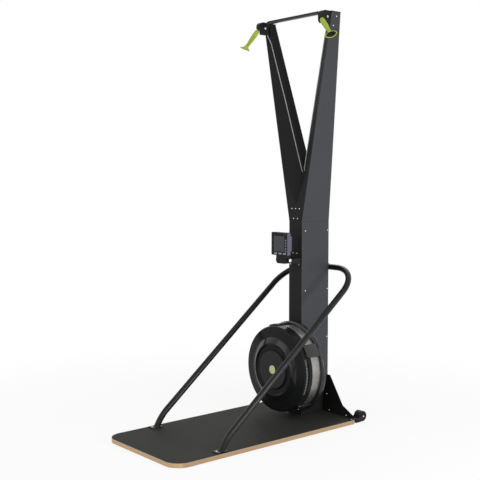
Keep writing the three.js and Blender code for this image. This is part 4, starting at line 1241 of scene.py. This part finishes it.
@dataclass
class Arms(Assembly):
    """The two arms of the Y, each a folded channel behind a flat outer panel."""

    solids: tuple[Rounded, ...] = (
        *pair("arm_channel", Finishes.channel_coat, 0.8),
        *pair("arm_panel", Finishes.slate_coat, 0.7),
    )
    panel_screws: tuple[Pair, ...] = ((1055.0, 2132.0), (1040.0, 2085.0))
    seam_z: float = 1075.0
    slope: float = 0.1957

    def shape(self) -> None:
        """Builds the screws of the panels."""
        screws = Form()
        for side in Side:
            out = Vector((side.value, 0, -self.slope)).normalized()
            reaches = [COLUMN_HALF + (z - self.seam_z) * self.slope for _, z in self.panel_screws]
            places = [(side.x(x), y, z) for x, (y, z) in zip(reaches, self.panel_screws)]
            screws.screws(places, out, Screw.SHEET)
        screws.finish("arm_screws", "frame", Finishes.steel)


@dataclass
class PulleyHeads(Assembly):
    """The pulleys on top of the arms, their hoods and pins, and the bar between them."""

    solids: tuple[Rounded, ...] = pair("pulley_housing", Finishes.black_plastic, 1.3, 3)
    inner_x: float = 223.0
    width: float = 30.0
    radius: float = 23.0
    groove: float = 4.8
    groove_sides: Pair = (1.8, 4.2)
    pulley_width: float = 14.0
    pin_radius: float = 4.0
    pin_head: Pair = (6.0, 3.0)
    pin_socket: Pair = (2.7, 1.4)
    cheek_x: float = 223.1
    cheek_front: float = 953.2
    cheek_span: Pair = (2092.2, 2132.0)
    cheek_corner: float = 26.0
    cheek_thickness: float = 3.8
    bar_y: float = 995.0
    bar: Pair = (20.0, 16.0)
    bar_lip: float = 3.2
    bar_recess: float = 5.0
    bar_draft: float = 0.8
    bar_middle: float = 2151.0
    bar_end: float = 4.0
    drop: float = 11.0
    run_down: float = 38.0

    def head(self, side: Side) -> None:
        """Builds the pulley, the pin and the cheek of one hood.

        Args:
            side: The side.
        """
        word, axis = side.word, (0, *PULLEY)
        left, right = PULLEY_X - self.pulley_width / 2, PULLEY_X + self.pulley_width / 2
        lip, bottom = self.groove_sides
        half = [(self.pin_radius + GAP, left), (self.radius, left), (self.radius, left + lip),
                (self.radius - self.groove, left + bottom)]
        profile = filleted(mirrored(half, left, right), radius=1.2, pieces=3)
        wheel = Form().lathe(profile, axis, AXIS_X, steps=64, loop=True)
        wheel.on(side).stand_in(f"top_pulley_{word}", f"top_pulley_{word}", Finishes.black_plastic)
        (head, high), (socket, bottom) = self.pin_head, self.pin_socket
        a, b = self.inner_x - GAP, self.inner_x + self.width + GAP
        rod = [(0, a - high), (head, a - high), (head, a), (self.pin_radius, a), (self.pin_radius, b),
               (head, b), (head, b + high), (socket, b + high), (socket, b + bottom), (0, b + bottom)]
        pin = Form().lathe(filleted(rod, radius=0.7, pieces=3, loop=False), axis, AXIS_X, steps=36)
        pin.on(side).stand_in(f"pulley_pin_{word}", "frame", Finishes.steel)
        y, rear, (low, high) = self.cheek_front, PULLEY[0], self.cheek_span
        edge = filleted([(y, high), (y, low), (rear, low)], self.cheek_corner, pieces=8, loop=False)
        outline = [(side.x(self.cheek_x), *point) for point in (*edge, (rear, high))]
        cheek = Form().slab(outline, (side.x(self.cheek_thickness), 0, 0), soft=0.8)
        cheek.finish(f"pulley_cheek_{word}", "frame", Finishes.black_plastic)

    def shape(self) -> None:
        """Builds both heads and the bar, a folded channel whose ends sweep down into the hoods."""
        for side in Side:
            self.head(side)
        end, y, high = self.inner_x - GAP, self.bar_y, self.bar_middle
        low, start = high - self.drop, Vector((end - self.run_down, y, high))
        controls = [start, start + AXIS_X * self.run_down / 2, Vector((end - self.run_down / 2, y, low)),
                    Vector((end - self.bar_end, y, low))]
        half = [*curve(controls, steps=14), Vector((end, y, low))]
        path = [*(Side.LEFT.point(tuple(point)) for point in reversed(half)), *half]
        (w, h), lip, floor = (size / 2 for size in self.bar), self.bar_lip, self.bar_recess
        face = h - lip - self.bar_draft
        rim = [(-w, -h), (w, -h), (w, lip - h), (w - floor, -face), (w - floor, face), (w, h - lip), (w, h),
               (-w, h)]
        section = [tuple(point) for point in filleted(rim, radius=1.6, pieces=3)]
        Form().sweep(path, section, AXIS_Z).stand_in("crossbar", "frame", Finishes.bar_coat)


@dataclass
class Cord(Assembly):
    """A drive cord, from its spool over the top pulley to its handle."""

    side: Side
    low_routes: ClassVar[dict[Side, tuple[Triple, ...]]] = {
        Side.RIGHT: ((30, 1060, 292), (30, 1060, 960), (27, 1062, 1000), (20, 1070, 1060), (13, 1092, 1150),
                     (10, 1097, 1230), (9.5, 1096, 1280)),
        Side.LEFT: ((30, 1098, 292), (30, 1098, 880), (26, 1099, 930), (6, 1100, 1004), (-9, 1102, 1062),
                    (-12, 1102, 1120), (-10.5, 1099, 1250)),
    }
    high_route: tuple[Triple, ...] = ((9, 1088, 1317), (9, 1073, 1345), (12, 1068.5, 1362), (116, 1045, 1730),
                                      (207, 1022, 2043), (232, 1016, 2090), (238, 1012.4, 2124))
    radius: float = 2.5
    sides: int = 12
    bend: float = 9.0
    wrap: float = 21.4
    straight: float = 2.0

    def shape(self) -> None:
        """Builds the cord and its end, which runs from the pulley down to the handle."""
        word, (pulley_y, pulley_z) = self.side.word, PULLEY
        x, section = self.side.x(PULLEY_X), disc(self.radius, self.sides)
        route = [*map(Vector, self.low_routes[self.side]), *map(self.side.point, self.high_route)]
        turn = [math.pi * step / 30 for step in range(31)]
        over = [Vector((x, pulley_y + self.wrap * math.cos(angle), pulley_z + self.wrap * math.sin(angle)))
                for angle in turn]
        exit_y, exit_z = pulley_y - self.wrap, pulley_z - self.straight
        path = [*filleted(route, self.bend, pieces=4, loop=False)[:-1], *over, Vector((x, exit_y, exit_z))]
        Form().sweep(path, section, AXIS_Y).stand_in(f"cord_{word}", "frame", Finishes.cord)
        top = self.side.point(HANDLE_TOP)
        way = (self.side.point(HANDLE_BASE) - top).normalized()
        start, end = Vector((x, exit_y, exit_z - GAP)), top - way * GAP
        pull = (end - start).length / 3
        run = curve([start, start - AXIS_Z * pull, end - way * pull, end], steps=24)
        form = Form().sweep(run, section, AXIS_Y)
        piece = form.stand_in(f"cord_end_{word}", None, Finishes.cord)
        places = [(p - Vector((0, DECK_FRONT, 0))) * METRES for p in (start, end)]
        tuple(places[0])
        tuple(places[1])
        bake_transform(piece)


@dataclass
class Handle(Assembly):
    """A green grip with a domed top, an oval grip and a hollow, slanted foot.

    The dome and the stations give places as shares of its length with shares of the grip's radius. The hollow
    gives places as shares of its length with radii.
    """

    side: Side
    grip: float = 14.5
    lip: float = 30.0
    neck: float = 0.7
    oval: float = 0.78
    slant: float = 0.33
    dome: tuple[Pair, ...] = ((-0.065, 0.0), (-0.062, 0.22), (-0.048, 0.45), (-0.025, 0.66), (0.005, 0.8),
                              (0.04, 0.9), (0.08, 0.965), (0.13, 1.0))
    stations: tuple[Pair, ...] = ((0.2, 1.01), (0.3, 1.0), (0.5, 0.92), (0.62, 0.8), (0.72, 0.72), (0.8, 0.7),
                                  (0.86, 0.78), (0.91, 0.99), (0.95, 1.36), (0.975, 1.72), (0.99, 1.99))
    hollow: tuple[Pair, ...] = ((1.0, 28.5), (0.985, 25.2), (0.968, 20.8), (0.95, 16.6), (0.915, 12.0),
                                (0.885, 9.4), (0.875, 0.0))
    crease: float = 50.0
    # The lining is a thin dark sheet over the hollow foot's inside, painted shade of the hollow.
    lining: Pair = (0.4, 0.35)
    behind: float = 0.1
    # The dark line is painted shade: it stands for the shade in a groove along the grip's inner face.
    line_facing: Triple = (-0.77, -0.64, 0.0)
    line_stations: int = 6
    line_section: tuple[Pair, ...] = ((-1.3, -0.5), (1.3, -0.5), (0.9, 0.3), (-0.9, 0.3))

    def __post_init__(self) -> None:
        """Works out where the grip is and how it lies."""
        self.top = self.side.point(HANDLE_TOP)
        span = self.side.point(HANDLE_BASE) - self.top
        self.way, self.length = span.normalized(), span.length

    def shaped(self, form: Form) -> Form:
        """Makes a turned form oval above its foot and leans the foot's rim towards level.

        Args:
            form: The form.

        Returns:
            The form itself.
        """
        down = (self.way * self.way.z - AXIS_Z).normalized()
        across = self.way.cross(down)
        for vert in form.bm.verts:
            local = vert.co - self.top
            share = min(max((local.dot(self.way) / self.length - self.neck) / (1.0 - self.neck), 0.0), 1.0)
            foot = share * share * (3.0 - 2.0 * share)
            squeeze = (1.0 - foot) * (1.0 - self.oval) * local.dot(across)
            vert.co = vert.co - across * squeeze - self.way * (foot * self.slant * local.dot(down))
        return form

    def shape(self) -> None:
        """Builds the grip, its lining, which paints the shade inside its foot, and a dark line, a groove's
        painted shade.
        """
        body, top, way, length = f"handle_{self.side.word}", self.top, self.way, self.length
        outside = [*((share * self.grip, place * length) for place, share in (*self.dome, *self.stations)),
                   (self.lip, length - 0.9), (self.lip - 0.4, length - 0.2), (self.lip - 0.8, length)]
        inside = [(radius, place * length) for place, radius in self.hollow]
        shell = Form().lathe([*outside, *inside], top, way, steps=64)
        self.shaped(shell).stand_in(body, body, Finishes.grip, self.crease)
        thick, deep = self.lining
        bottom = inside[-1][1]
        front = [(radius - thick, depth + deep) for radius, depth in reversed(inside[1:-1])]
        back = [(radius - self.behind, depth + self.behind) for radius, depth in inside[1:-1]]
        profile = [(0.0, bottom + deep), *front, *back, (0.0, bottom + self.behind)]
        # The lining paints the shade inside the hollow foot.
        lining = self.shaped(Form().lathe(profile, top, way, steps=48))
        lining.finish(f"{body}_lining", body, Finishes.hollow, crease=self.crease)
        facing = self.side.point(self.line_facing)
        facing = (facing - way * facing.dot(way)).normalized()
        path = [top + way * (place * length) + facing * (share * self.grip + 0.05)
                for place, share in self.stations[:self.line_stations]]
        # A dark strip that paints a groove's shade.
        line = Form().sweep(path, self.line_section, facing)
        self.shaped(line).finish(f"{body}_line", body, Finishes.grip_line)


@dataclass
class FlywheelHousing(Assembly):
    """The stepped cover, its badge, the perforated band, the rear shell and the damper's scale.

    The badge gives radii with heights. Each ring gives the radius and Y of its inner and of its outer edge.
    """

    face_y: float = 850.0
    disc_radius: float = 104.0
    channel_radius: float = 129.0
    channel_y: float = 859.0
    crest: Pair = (138.0, 851.0)
    slope_radius: float = 173.0
    annulus_y: float = 869.0
    radius: float = 230.0
    edge: float = 6.0
    rear_y: float = 925.0
    wall: float = 3.0
    soft: float = 3.4
    fine: int = 180
    badge: tuple[Pair, ...] = ((0, 0), (23, 0), (23, 0.7), (22, 1.6), (19.6, 1.6), (19, 1.15), (0, 1.15))
    ring_edge: Triple = (0.1, 0.9, 0.6)
    rings: tuple[tuple[str, Finish, Pair, Pair], ...] = (
        ("cover_disc", Finishes.disc_black, (24.5, 850.0), (100.0, 850.0)),
        ("cover_channel", Finishes.channel_black, (107.4, 859.0), (128.6, 859.0)),
        ("cover_slope", Finishes.slope_black, (140.0, 851.8), (171.0, 865.2)),
    )
    band: Triple = (224.5, 226.5, 985.0)
    shell_bore: float = 222.0
    flange: float = 245.0
    chamfer: float = 8.0
    disc_y: float = 1010.0
    wall_y: float = 1006.0
    boss: Pair = (62.0, 1015.7)
    hole: float = 22.0
    bridges: tuple[float, ...] = (31.0, 103.0, 175.0, 236.0, 304.0)
    plain_bridge: float = 31.0
    bridge_half: float = 8.5
    bridge_thickness: float = 9.0
    bridge_front: float = 898.0
    bridge_corner: float = 13.0
    bridge_screw: float = 913.0
    slot_y: Pair = (892.55, 901.45)
    slot_degrees: Pair = (-25.4, 15.4)
    scale_degrees: Pair = (-27.0, 21.0)
    scale_y: Pair = (878.6, 890.6)
    scale_lift: Pair = (0.1, 0.8)
    number_degrees: Pair = (14.0, -24.0)
    number_count: int = 10
    number_size: float = 7.5
    number_lift: float = 0.75
    number_depth: float = 0.25

    def around(self, degrees: float, radius: float, y: float) -> Vector:
        """A point by its angle from +X towards +Z, its radius and its Y."""
        angle = math.radians(degrees)
        return Vector((radius * math.cos(angle), y, SHAFT.z + radius * math.sin(angle)))

    def cover(self) -> None:
        """Builds the stepped front cover, with the slot that the damper's lever comes out of."""
        w, r, e, y, channel = self.wall, self.radius, self.edge, self.annulus_y, self.channel_y
        (crest, crest_y), (a, b), disc_bore = self.crest, self.slot_y, self.disc_radius - w
        outside = [(0, self.face_y), (self.disc_radius, self.face_y), (self.disc_radius + w / 2, channel),
                   (self.channel_radius, channel), self.crest, (self.slope_radius, y - w), (r - e, y + w),
                   (r, y + w + e), (r, self.rear_y)]
        inside = [(r, a), (r, b), (r, self.rear_y), (r - w, self.rear_y), (r - w, b), (r - w, a),
                  (r - w, y + 2 * w + e), (r - e - w, y + 2 * w), (self.slope_radius - w, y),
                  (crest, crest_y + 2 * w), (self.channel_radius, channel + w), (disc_bore, channel + w),
                  (disc_bore, self.face_y + w), (0, self.face_y + w)]
        front = filleted(outside, self.soft, pieces=4, loop=False)[:-1]
        form = Form().lathe([*front, *inside], SHAFT, AXIS_Y, self.fine)
        low, high = self.slot_degrees
        gone = []
        for face in form.bm.faces:
            middle = face.calc_center_median() - SHAFT
            inside_slot = a < middle.y < b and low < math.degrees(math.atan2(middle.z, middle.x)) < high
            if inside_slot and math.hypot(middle.x, middle.z) > r - w - 1 and abs(face.normal.y) < 0.5:
                gone.append(face)
        bmesh.ops.delete(form.bm, geom=gone, context="FACES")
        bmesh.ops.bridge_loops(form.bm, edges=[edge for edge in form.bm.edges if edge.is_boundary])
        form.stand_in("flywheel_cover", "frame", Finishes.gloss_black, crease=40.0)

    def trim(self) -> None:
        """Lays the thin rings on the cover's face, and the pale badge, with a raised rim, at its centre."""
        low, high, run = self.ring_edge
        for name, look, (r0, y0), (r1, y1) in self.rings:
            rim = [(r0, y0 - low), (r0 + run, y0 - high), (r1 - run, y1 - high), (r1, y1 - low)]
            Form().lathe(rim, SHAFT, AXIS_Y, steps=128, loop=True).finish(name, "frame", look)
        badge = [(radius, self.face_y - GAP - lift) for radius, lift in self.badge]
        form = Form().lathe(filleted(badge, radius=0.5, pieces=3, loop=False), SHAFT, AXIS_Y, steps=96)
        form.stand_in("centre_badge", "frame", Finishes.badge)

    def rear(self) -> None:
        """Builds the perforated band, and the rear shell with its bridges and their screws."""
        inner, outer, rear = self.band
        band = box(inner, self.rear_y + GAP, outer, rear - GAP)
        Form().lathe(band, SHAFT, AXIS_Y, self.fine, loop=True).stand_in("mesh_band", "frame", Finishes.mesh)
        (boss, boss_y), flange, wall = self.boss, self.flange, self.shell_bore
        shoulder = rear + self.chamfer
        profile = [(self.hole, boss_y), (boss, boss_y), (boss, self.disc_y), (flange, self.disc_y),
                   (flange, shoulder), (flange - self.chamfer, rear), (wall, rear), (wall, self.wall_y),
                   (self.hole, self.wall_y)]
        shell = Form().lathe(filleted(profile, radius=1.8, pieces=3), SHAFT, AXIS_Y, self.fine, loop=True)
        screws, foot = Form(), self.radius + 2 * GAP
        for middle in self.bridges:
            self.bridge(shell, middle, foot, shoulder)
            if middle != self.plain_bridge:
                out = (self.around(middle, 1, 0) - SHAFT).normalized()
                seat = self.around(middle, foot + self.bridge_thickness, self.bridge_screw)
                screws.screws([seat], out, Screw.BRIDGE)
        shell.stand_in("rear_housing", "frame", Finishes.rear_black)
        screws.finish("housing_screws", "frame", Finishes.steel)

    def bridge(self, shell: Form, middle: float, foot: float, rear: float) -> None:
        """Adds a bridge from the rear flange over the band to the cover, bent to the cover's wall.

        Args:
            shell: The form that gets it.
            middle: Its middle's angle, in degrees.
            foot: Its inner radius.
            rear: Its rear end's Y.
        """
        half = math.radians(self.bridge_half) * foot
        corners = [(-half, rear), (half, rear), (half, self.bridge_front), (-half, self.bridge_front)]
        outline = [(p.x, min(p.y, rear), 0) for p in filleted(corners, self.bridge_corner, pieces=6)]
        known = set(shell.slab(outline, (0, 0, self.bridge_thickness), soft=1.6, pieces=3).made)
        for cut in range(-3, 4):
            edges = {edge for vert in known for edge in vert.link_edges}
            faces = {face for vert in known for face in vert.link_faces}
            split = bmesh.ops.bisect_plane(shell.bm, geom=[*known, *edges, *faces],
                                           plane_co=(cut * half / 4, 0, 0), plane_no=AXIS_X)
            known.update(v for v in split["geom_cut"] if isinstance(v, Corner))
        for vert in known:
            vert.co = self.around(middle - math.degrees(vert.co.x / foot), foot + vert.co.z, vert.co.y)

    def scale(self) -> None:
        """Builds the dark scale beside the damper's slot, with the numbers 1 to 10."""
        (low, high), (near, far), (under, over) = self.scale_degrees, self.scale_y, self.scale_lift
        section = box(self.radius + under, near, self.radius + over, far)
        start = self.around(high, 1, 0) - SHAFT
        plate = Form().lathe(section, SHAFT, AXIS_Y, steps=48, loop=True, start=start, degrees=high - low)
        plate.finish("damper_scale", "frame", Finishes.scale)
        numbers, (first, last) = Form(), self.number_degrees
        for i in range(self.number_count):
            degrees = first + i * (last - first) / (self.number_count - 1)
            self.number(numbers, str(i + 1), degrees, (near + far) / 2)
        numbers.finish("damper_numbers", "frame", Finishes.numbers)

    def number(self, form: Form, word: str, degrees: float, y: float) -> None:
        """Adds a number, bent to the cover's wall.

        Args:
            form: The form that gets it.
            word: The number.
            degrees: Its angle.
            y: Its middle's Y.
        """
        text = bpy.data.curves.new("number", "FONT")
        text.body, text.size, text.extrude = word, self.number_size, self.number_depth
        text.align_x, text.align_y = "CENTER", "CENTER"
        holder = bpy.data.objects.new("number", text)
        bpy.context.scene.collection.objects.link(holder)
        mesh = bpy.data.meshes.new_from_object(holder)
        before = set(form.bm.verts)
        form.bm.from_mesh(mesh)
        form.note(before)
        for vert in form.made:
            angle, lift = degrees + math.degrees(vert.co.y / self.radius), self.number_lift + vert.co.z
            vert.co = self.around(angle, self.radius + lift, y - vert.co.x)
        bpy.data.objects.remove(holder)
        bpy.data.curves.remove(text)
        bpy.data.meshes.remove(mesh)

    def shape(self) -> None:
        """Builds the whole housing."""
        for step in (self.cover, self.trim, self.rear, self.scale):
            step()


@dataclass
class Damper(Assembly):
    """The ring that opens or closes the fan's inlet, and its lever."""

    radius: float = 225.5
    thickness: float = 2.0
    span: Pair = (884.0, 917.0)
    rest: float = 12.0
    lever_y: float = 897.0
    lever_thickness: float = 8.0
    lever_half: float = 5.6
    lever_root: float = 0.5
    taper: Pair = (6.0, 0.7)
    reach: float = 17.0

    def shape(self) -> None:
        """Builds the ring and its lever."""
        (front, rear), (run, share), half = self.span, self.taper, self.lever_half
        ring = box(self.radius - self.thickness, front, self.radius, rear)
        form = Form().lathe(ring, SHAFT, AXIS_Y, steps=144, loop=True)
        angle = math.radians(self.rest)
        out = Vector((math.cos(angle), 0, math.sin(angle)))
        over = Vector((-out.z, 0, out.x))
        origin = SHAFT + AXIS_Y * (self.lever_y - self.lever_thickness / 2)
        root, tip = self.radius - self.lever_root, self.radius + self.reach
        corners = [(root, -half), (tip - run, -half), (tip, -half * share), (tip, half * share),
                   (tip - run, half), (root, half)]
        outline = [origin + out * p.x + over * p.y for p in filleted(corners, radius=2.0, pieces=4)]
        form.slab(outline, AXIS_Y * self.lever_thickness, soft=1.2, pieces=3)
        form.stand_in("damper_ring", "damper", Finishes.black_plastic)


@dataclass
class Drive(Assembly):
    """The fan, its shaft, the spools and the return cord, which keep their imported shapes."""

    looks: tuple[tuple[Finish, tuple[str, ...]], ...] = (
        (Finishes.fan, ("flywheel_fan",)),
        (Finishes.steel, ("flywheel_shaft", "bearing_front", "bearing_rear", "return_pin")),
        (Finishes.black_plastic, ("cord_spool_right", "cord_spool_left", "return_pulley")),
        (Finishes.black_coat, ("bearing_block",)),
        (Finishes.elastic, ("return_cord",)),
    )

    def shape(self) -> None:
        """Gives the solids their finishes."""
        for look, name in ((look, name) for look, names in self.looks for name in names):
            node = NODES[name]
            if not node.material_slots:
                node.data.materials.append(look.material())
            for held in node.material_slots:
                held.material = look.material()
            log.info("%s: %s", name, look.name)


@dataclass
class Monitor(Assembly):
    """The monitor with its keys, its cradle and bracket, and the knob that clamps its tilt.

    The cap and the lamp give radii with heights.
    """

    solids: tuple[Rounded, ...] = (
        Rounded("monitor_bracket", Finishes.black_coat, 0.8),
        Rounded("monitor_case", Finishes.monitor_case, 1.6, 4, "monitor"),
        Rounded("monitor_cradle", Finishes.black_plastic, 1.2, 3, "monitor"),
        Rounded("monitor_screen", Finishes.display, 0.3, 2, "monitor"),
        *keys("side_button", Finishes.side_key, 5),
        *keys("menu_button", Finishes.menu_key, 3),
    )
    face_y: float = 897.0
    screen: tuple[float, float, float, float] = (-45.0, 918.0, 40.0, 1001.0)
    frame_outside: Pair = (4.0, 4.0)
    frame_inside: Pair = (0.4, 1.4)
    frame_lifts: tuple[float, float, float] = (0.15, -0.5, -0.9)
    lamp_place: Triple = (44.6, 897.0, 1010.9)
    lamp: tuple[Pair, ...] = ((0, -0.2), (1.8, -0.2), (1.8, 0.4), (0, 0.6))
    pivot: Triple = (0.0, 925.0, 872.0)
    knob_x: float = 42.6
    knob_radius: float = 10.0
    knob_thickness: float = 13.0
    collar: Pair = (6.0, 3.0)
    lobes: int = 8
    lobe_depth: float = 0.05
    cap: tuple[Pair, ...] = ((0, -1.0), (8.6, -1.0), (8.6, 0.5), (0, 0.9))
    plate_y: float = 1011.7
    plate_screws: tuple[Pair, ...] = ((-14.0, 904.0), (14.0, 904.0), (31.0, 843.0), (-31.0, 843.0))

    def knob(self) -> None:
        """Builds the knob, with lobes for the fingers, and its pale cap."""
        x, r, (collar, rise) = self.knob_x, self.knob_radius, self.collar
        end = x + self.knob_thickness
        profile = [(0, x), (collar, x), (collar, x + rise), (r, x + rise), (r, end), (0, end)]
        profile = filleted(profile, radius=1.6, pieces=4, loop=False)
        form = Form().lathe(profile, self.pivot, AXIS_X, steps=96)
        _, pivot_y, pivot_z = self.pivot
        for vert in form.made:
            y, z = vert.co.y - pivot_y, vert.co.z - pivot_z
            reach = math.hypot(y, z)
            if reach > collar + 0.5 and vert.co.x > x + rise - 0.1:
                wave = 1.0 - math.cos(self.lobes * math.atan2(z, y))
                dip = 1.0 - self.lobe_depth * wave * (reach - collar) / (r - collar)
                vert.co = Vector((vert.co.x, pivot_y + y * dip, pivot_z + z * dip))
        form.stand_in("monitor_knob", "monitor_knob", Finishes.black_plastic)
        rim = filleted([(radius, end + out) for radius, out in self.cap], radius=0.5, pieces=3, loop=False)
        cap = Form().lathe(rim, self.pivot, AXIS_X, steps=64)
        cap.finish("monitor_knob_cap", "monitor_knob", Finishes.knob)

    def loop(self, grow: float, corner: float) -> list[Vector]:
        """Traces a rounded loop on the monitor's face, round the screen.

        Args:
            grow: Its distance from the screen's edge.
            corner: How far from a corner its rounding starts.

        Returns:
            The loop's points.
        """
        x0, z0, x1, z1 = self.screen
        outline = filleted(box(x0 - grow, z0 - grow, x1 + grow, z1 + grow), corner)
        return [Vector((p.x, self.face_y, p.y)) for p in outline]

    def shape(self) -> None:
        """Builds the knob, the thin raised frame round the screen, the status lamp and the screws."""
        self.knob()
        form, rings = Form(), []
        outer, inner = self.loop(*self.frame_outside), self.loop(*self.frame_inside)
        sunk, edge, ridge = self.frame_lifts
        for points, lift in ((outer, sunk), (outer, edge), (inner, ridge), (inner, sunk)):
            verts = [form.bm.verts.new(p + AXIS_Y * lift) for p in points]
            rings.append([form.bm.edges.new(pair) for pair in zip(verts, [*verts[1:], verts[0]])])
        for one, two in zip(rings, [*rings[1:], rings[0]]):
            bmesh.ops.bridge_loops(form.bm, edges=one + two)
        form.finish("screen_frame", "monitor", Finishes.monitor_black)
        rim = filleted(self.lamp, radius=0.3, pieces=3, loop=False)
        lamp = Form().lathe(rim, self.lamp_place, -AXIS_Y, steps=24)
        lamp.finish("status_lamp", "monitor", Finishes.menu_key)
        screws = Form().screws([(x, self.plate_y, z) for x, z in self.plate_screws], -AXIS_Y, Screw.BRACKET)
        screws.finish("bracket_screws", "frame", Finishes.steel)


# Studio


@dataclass
class Studio:
    """The floor, the lamps, the world and the camera. Each lamp has its place, its side and its power."""

    camera_place: Triple = (3.466, -2.900, 1.317)
    camera_turn: Triple = (85.88, 0.0, 50.17)
    lens: float = 66.38
    sensor: float = 36.0
    ambient: float = 0.52
    floor_half: float = 14.0
    fade: tuple[float, ...] = (0.9, 2.6, 0.84, 1.0)
    target: Triple = (0.0, 0.1, 0.9)
    lamps: tuple[tuple[str, Triple, float, float], ...] = (
        ("key", (3.6, -0.9, 2.3), 2.0, 45.0),
        ("side", (3.2, 0.77, 0.8), 0.68, 37.0),
        ("fill", (-1.6, -3.2, 2.6), 2.4, 22.0),
        ("rim", (-2.2, 2.4, 3.0), 2.0, 26.0),
        ("low", (3.0, 1.7, 0.4), 0.9, 6.0),
        ("front", (-0.1, -3.0, 0.42), 0.76, 7.5),
    )

    def build(self) -> None:
        """Builds the floor, the lamps, the world and the camera."""
        scene = bpy.context.scene
        self.floor()
        self.world()
        for name, place, size, power in self.lamps:
            data = bpy.data.lights.new(name, "AREA")
            data.shape, data.size, data.energy = "SQUARE", size, power
            lamp = bpy.data.objects.new(name, data)
            lamp.location = place
            lamp.rotation_euler = (Vector(self.target) - Vector(place)).to_track_quat("-Z", "Y").to_euler()
            scene.collection.objects.link(lamp)
        data = bpy.data.cameras.new("camera")
        data.lens, data.sensor_width = self.lens, self.sensor
        data.clip_start, data.clip_end = 0.05, 100.0
        camera = bpy.data.objects.new("camera", data)
        camera.location = self.camera_place
        camera.rotation_euler = [math.radians(angle) for angle in self.camera_turn]
        scene.collection.objects.link(camera)
        scene.camera = camera
        scene.view_settings.view_transform = "Standard"

    def floor(self) -> None:
        """Builds a white floor that keeps a soft shadow near the machine and fades into the background."""
        bm = bmesh.new()
        bmesh.ops.create_grid(bm, x_segments=8, y_segments=8, size=self.floor_half)
        mesh = bpy.data.meshes.new("studio_floor")
        bm.to_mesh(mesh)
        bm.free()
        floor = bpy.data.objects.new("studio_floor", mesh)
        bpy.context.scene.collection.objects.link(floor)
        material = bpy.data.materials.new("studio floor")
        mesh.materials.append(material)
        graph = Graph(material)
        x, y, _ = graph.axes()
        share = (graph.seen() > 0.5) * (x * x + y * y).root().spread(*self.fade)
        plain = graph.node("ShaderNodeBsdfDiffuse", None, {"Color": (0.9, 0.9, 0.9)})
        glow = graph.node("ShaderNodeEmission", None, {"Color": (1.0, 1.0, 1.0), "Strength": 1.0})
        mixed = graph.node("ShaderNodeMixShader", None, {0: share, 1: plain.outputs[0], 2: glow.outputs[0]})
        graph.node("ShaderNodeOutputMaterial", None, {"Surface": mixed.outputs[0]})
        floor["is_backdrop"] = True

    def world(self) -> None:
        """Makes a background that is white to the camera and to gloss, and softer as a light."""
        world = bpy.data.worlds.new("studio")
        bpy.context.scene.world = world
        graph = Graph(world)
        values = {"Value": graph.seen(), "To Min": self.ambient, "To Max": 1.0}
        strength = graph.node("ShaderNodeMapRange", None, values).outputs["Result"]
        white = graph.node("ShaderNodeBackground", None, {"Color": (1.0, 1.0, 1.0), "Strength": strength})
        graph.node("ShaderNodeOutputWorld", None, {"Surface": white.outputs[0]})


def corners(bounds: tuple[Vector, Vector]) -> list[list[float]]:
    """A box's two corners as plain lists."""
    return [list(corner) for corner in bounds]


def main(frame: dict) -> None:
    """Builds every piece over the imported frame.

    Args:
        frame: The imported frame.
    """
    logging.basicConfig(level=logging.INFO, format="%(name)s: %(message)s")
    packed = corners(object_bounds())
    NODES.update(frame["nodes"])
    Studio().build()
    assemblies: list[Assembly] = [
        Deck(), Handrail(), RearFrame(), Column(), Arms(), PulleyHeads(), Cord(Side.RIGHT), Cord(Side.LEFT),
        Handle(Side.RIGHT), Handle(Side.LEFT), FlywheelHousing(), Damper(), Drive(), Monitor(),
    ]
    for assembly in assemblies:
        assembly.build()
    bpy.context.view_layer.update()
    {"packed": packed, "dressed": corners(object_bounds())}


if __name__ == "__main__":
    main(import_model())
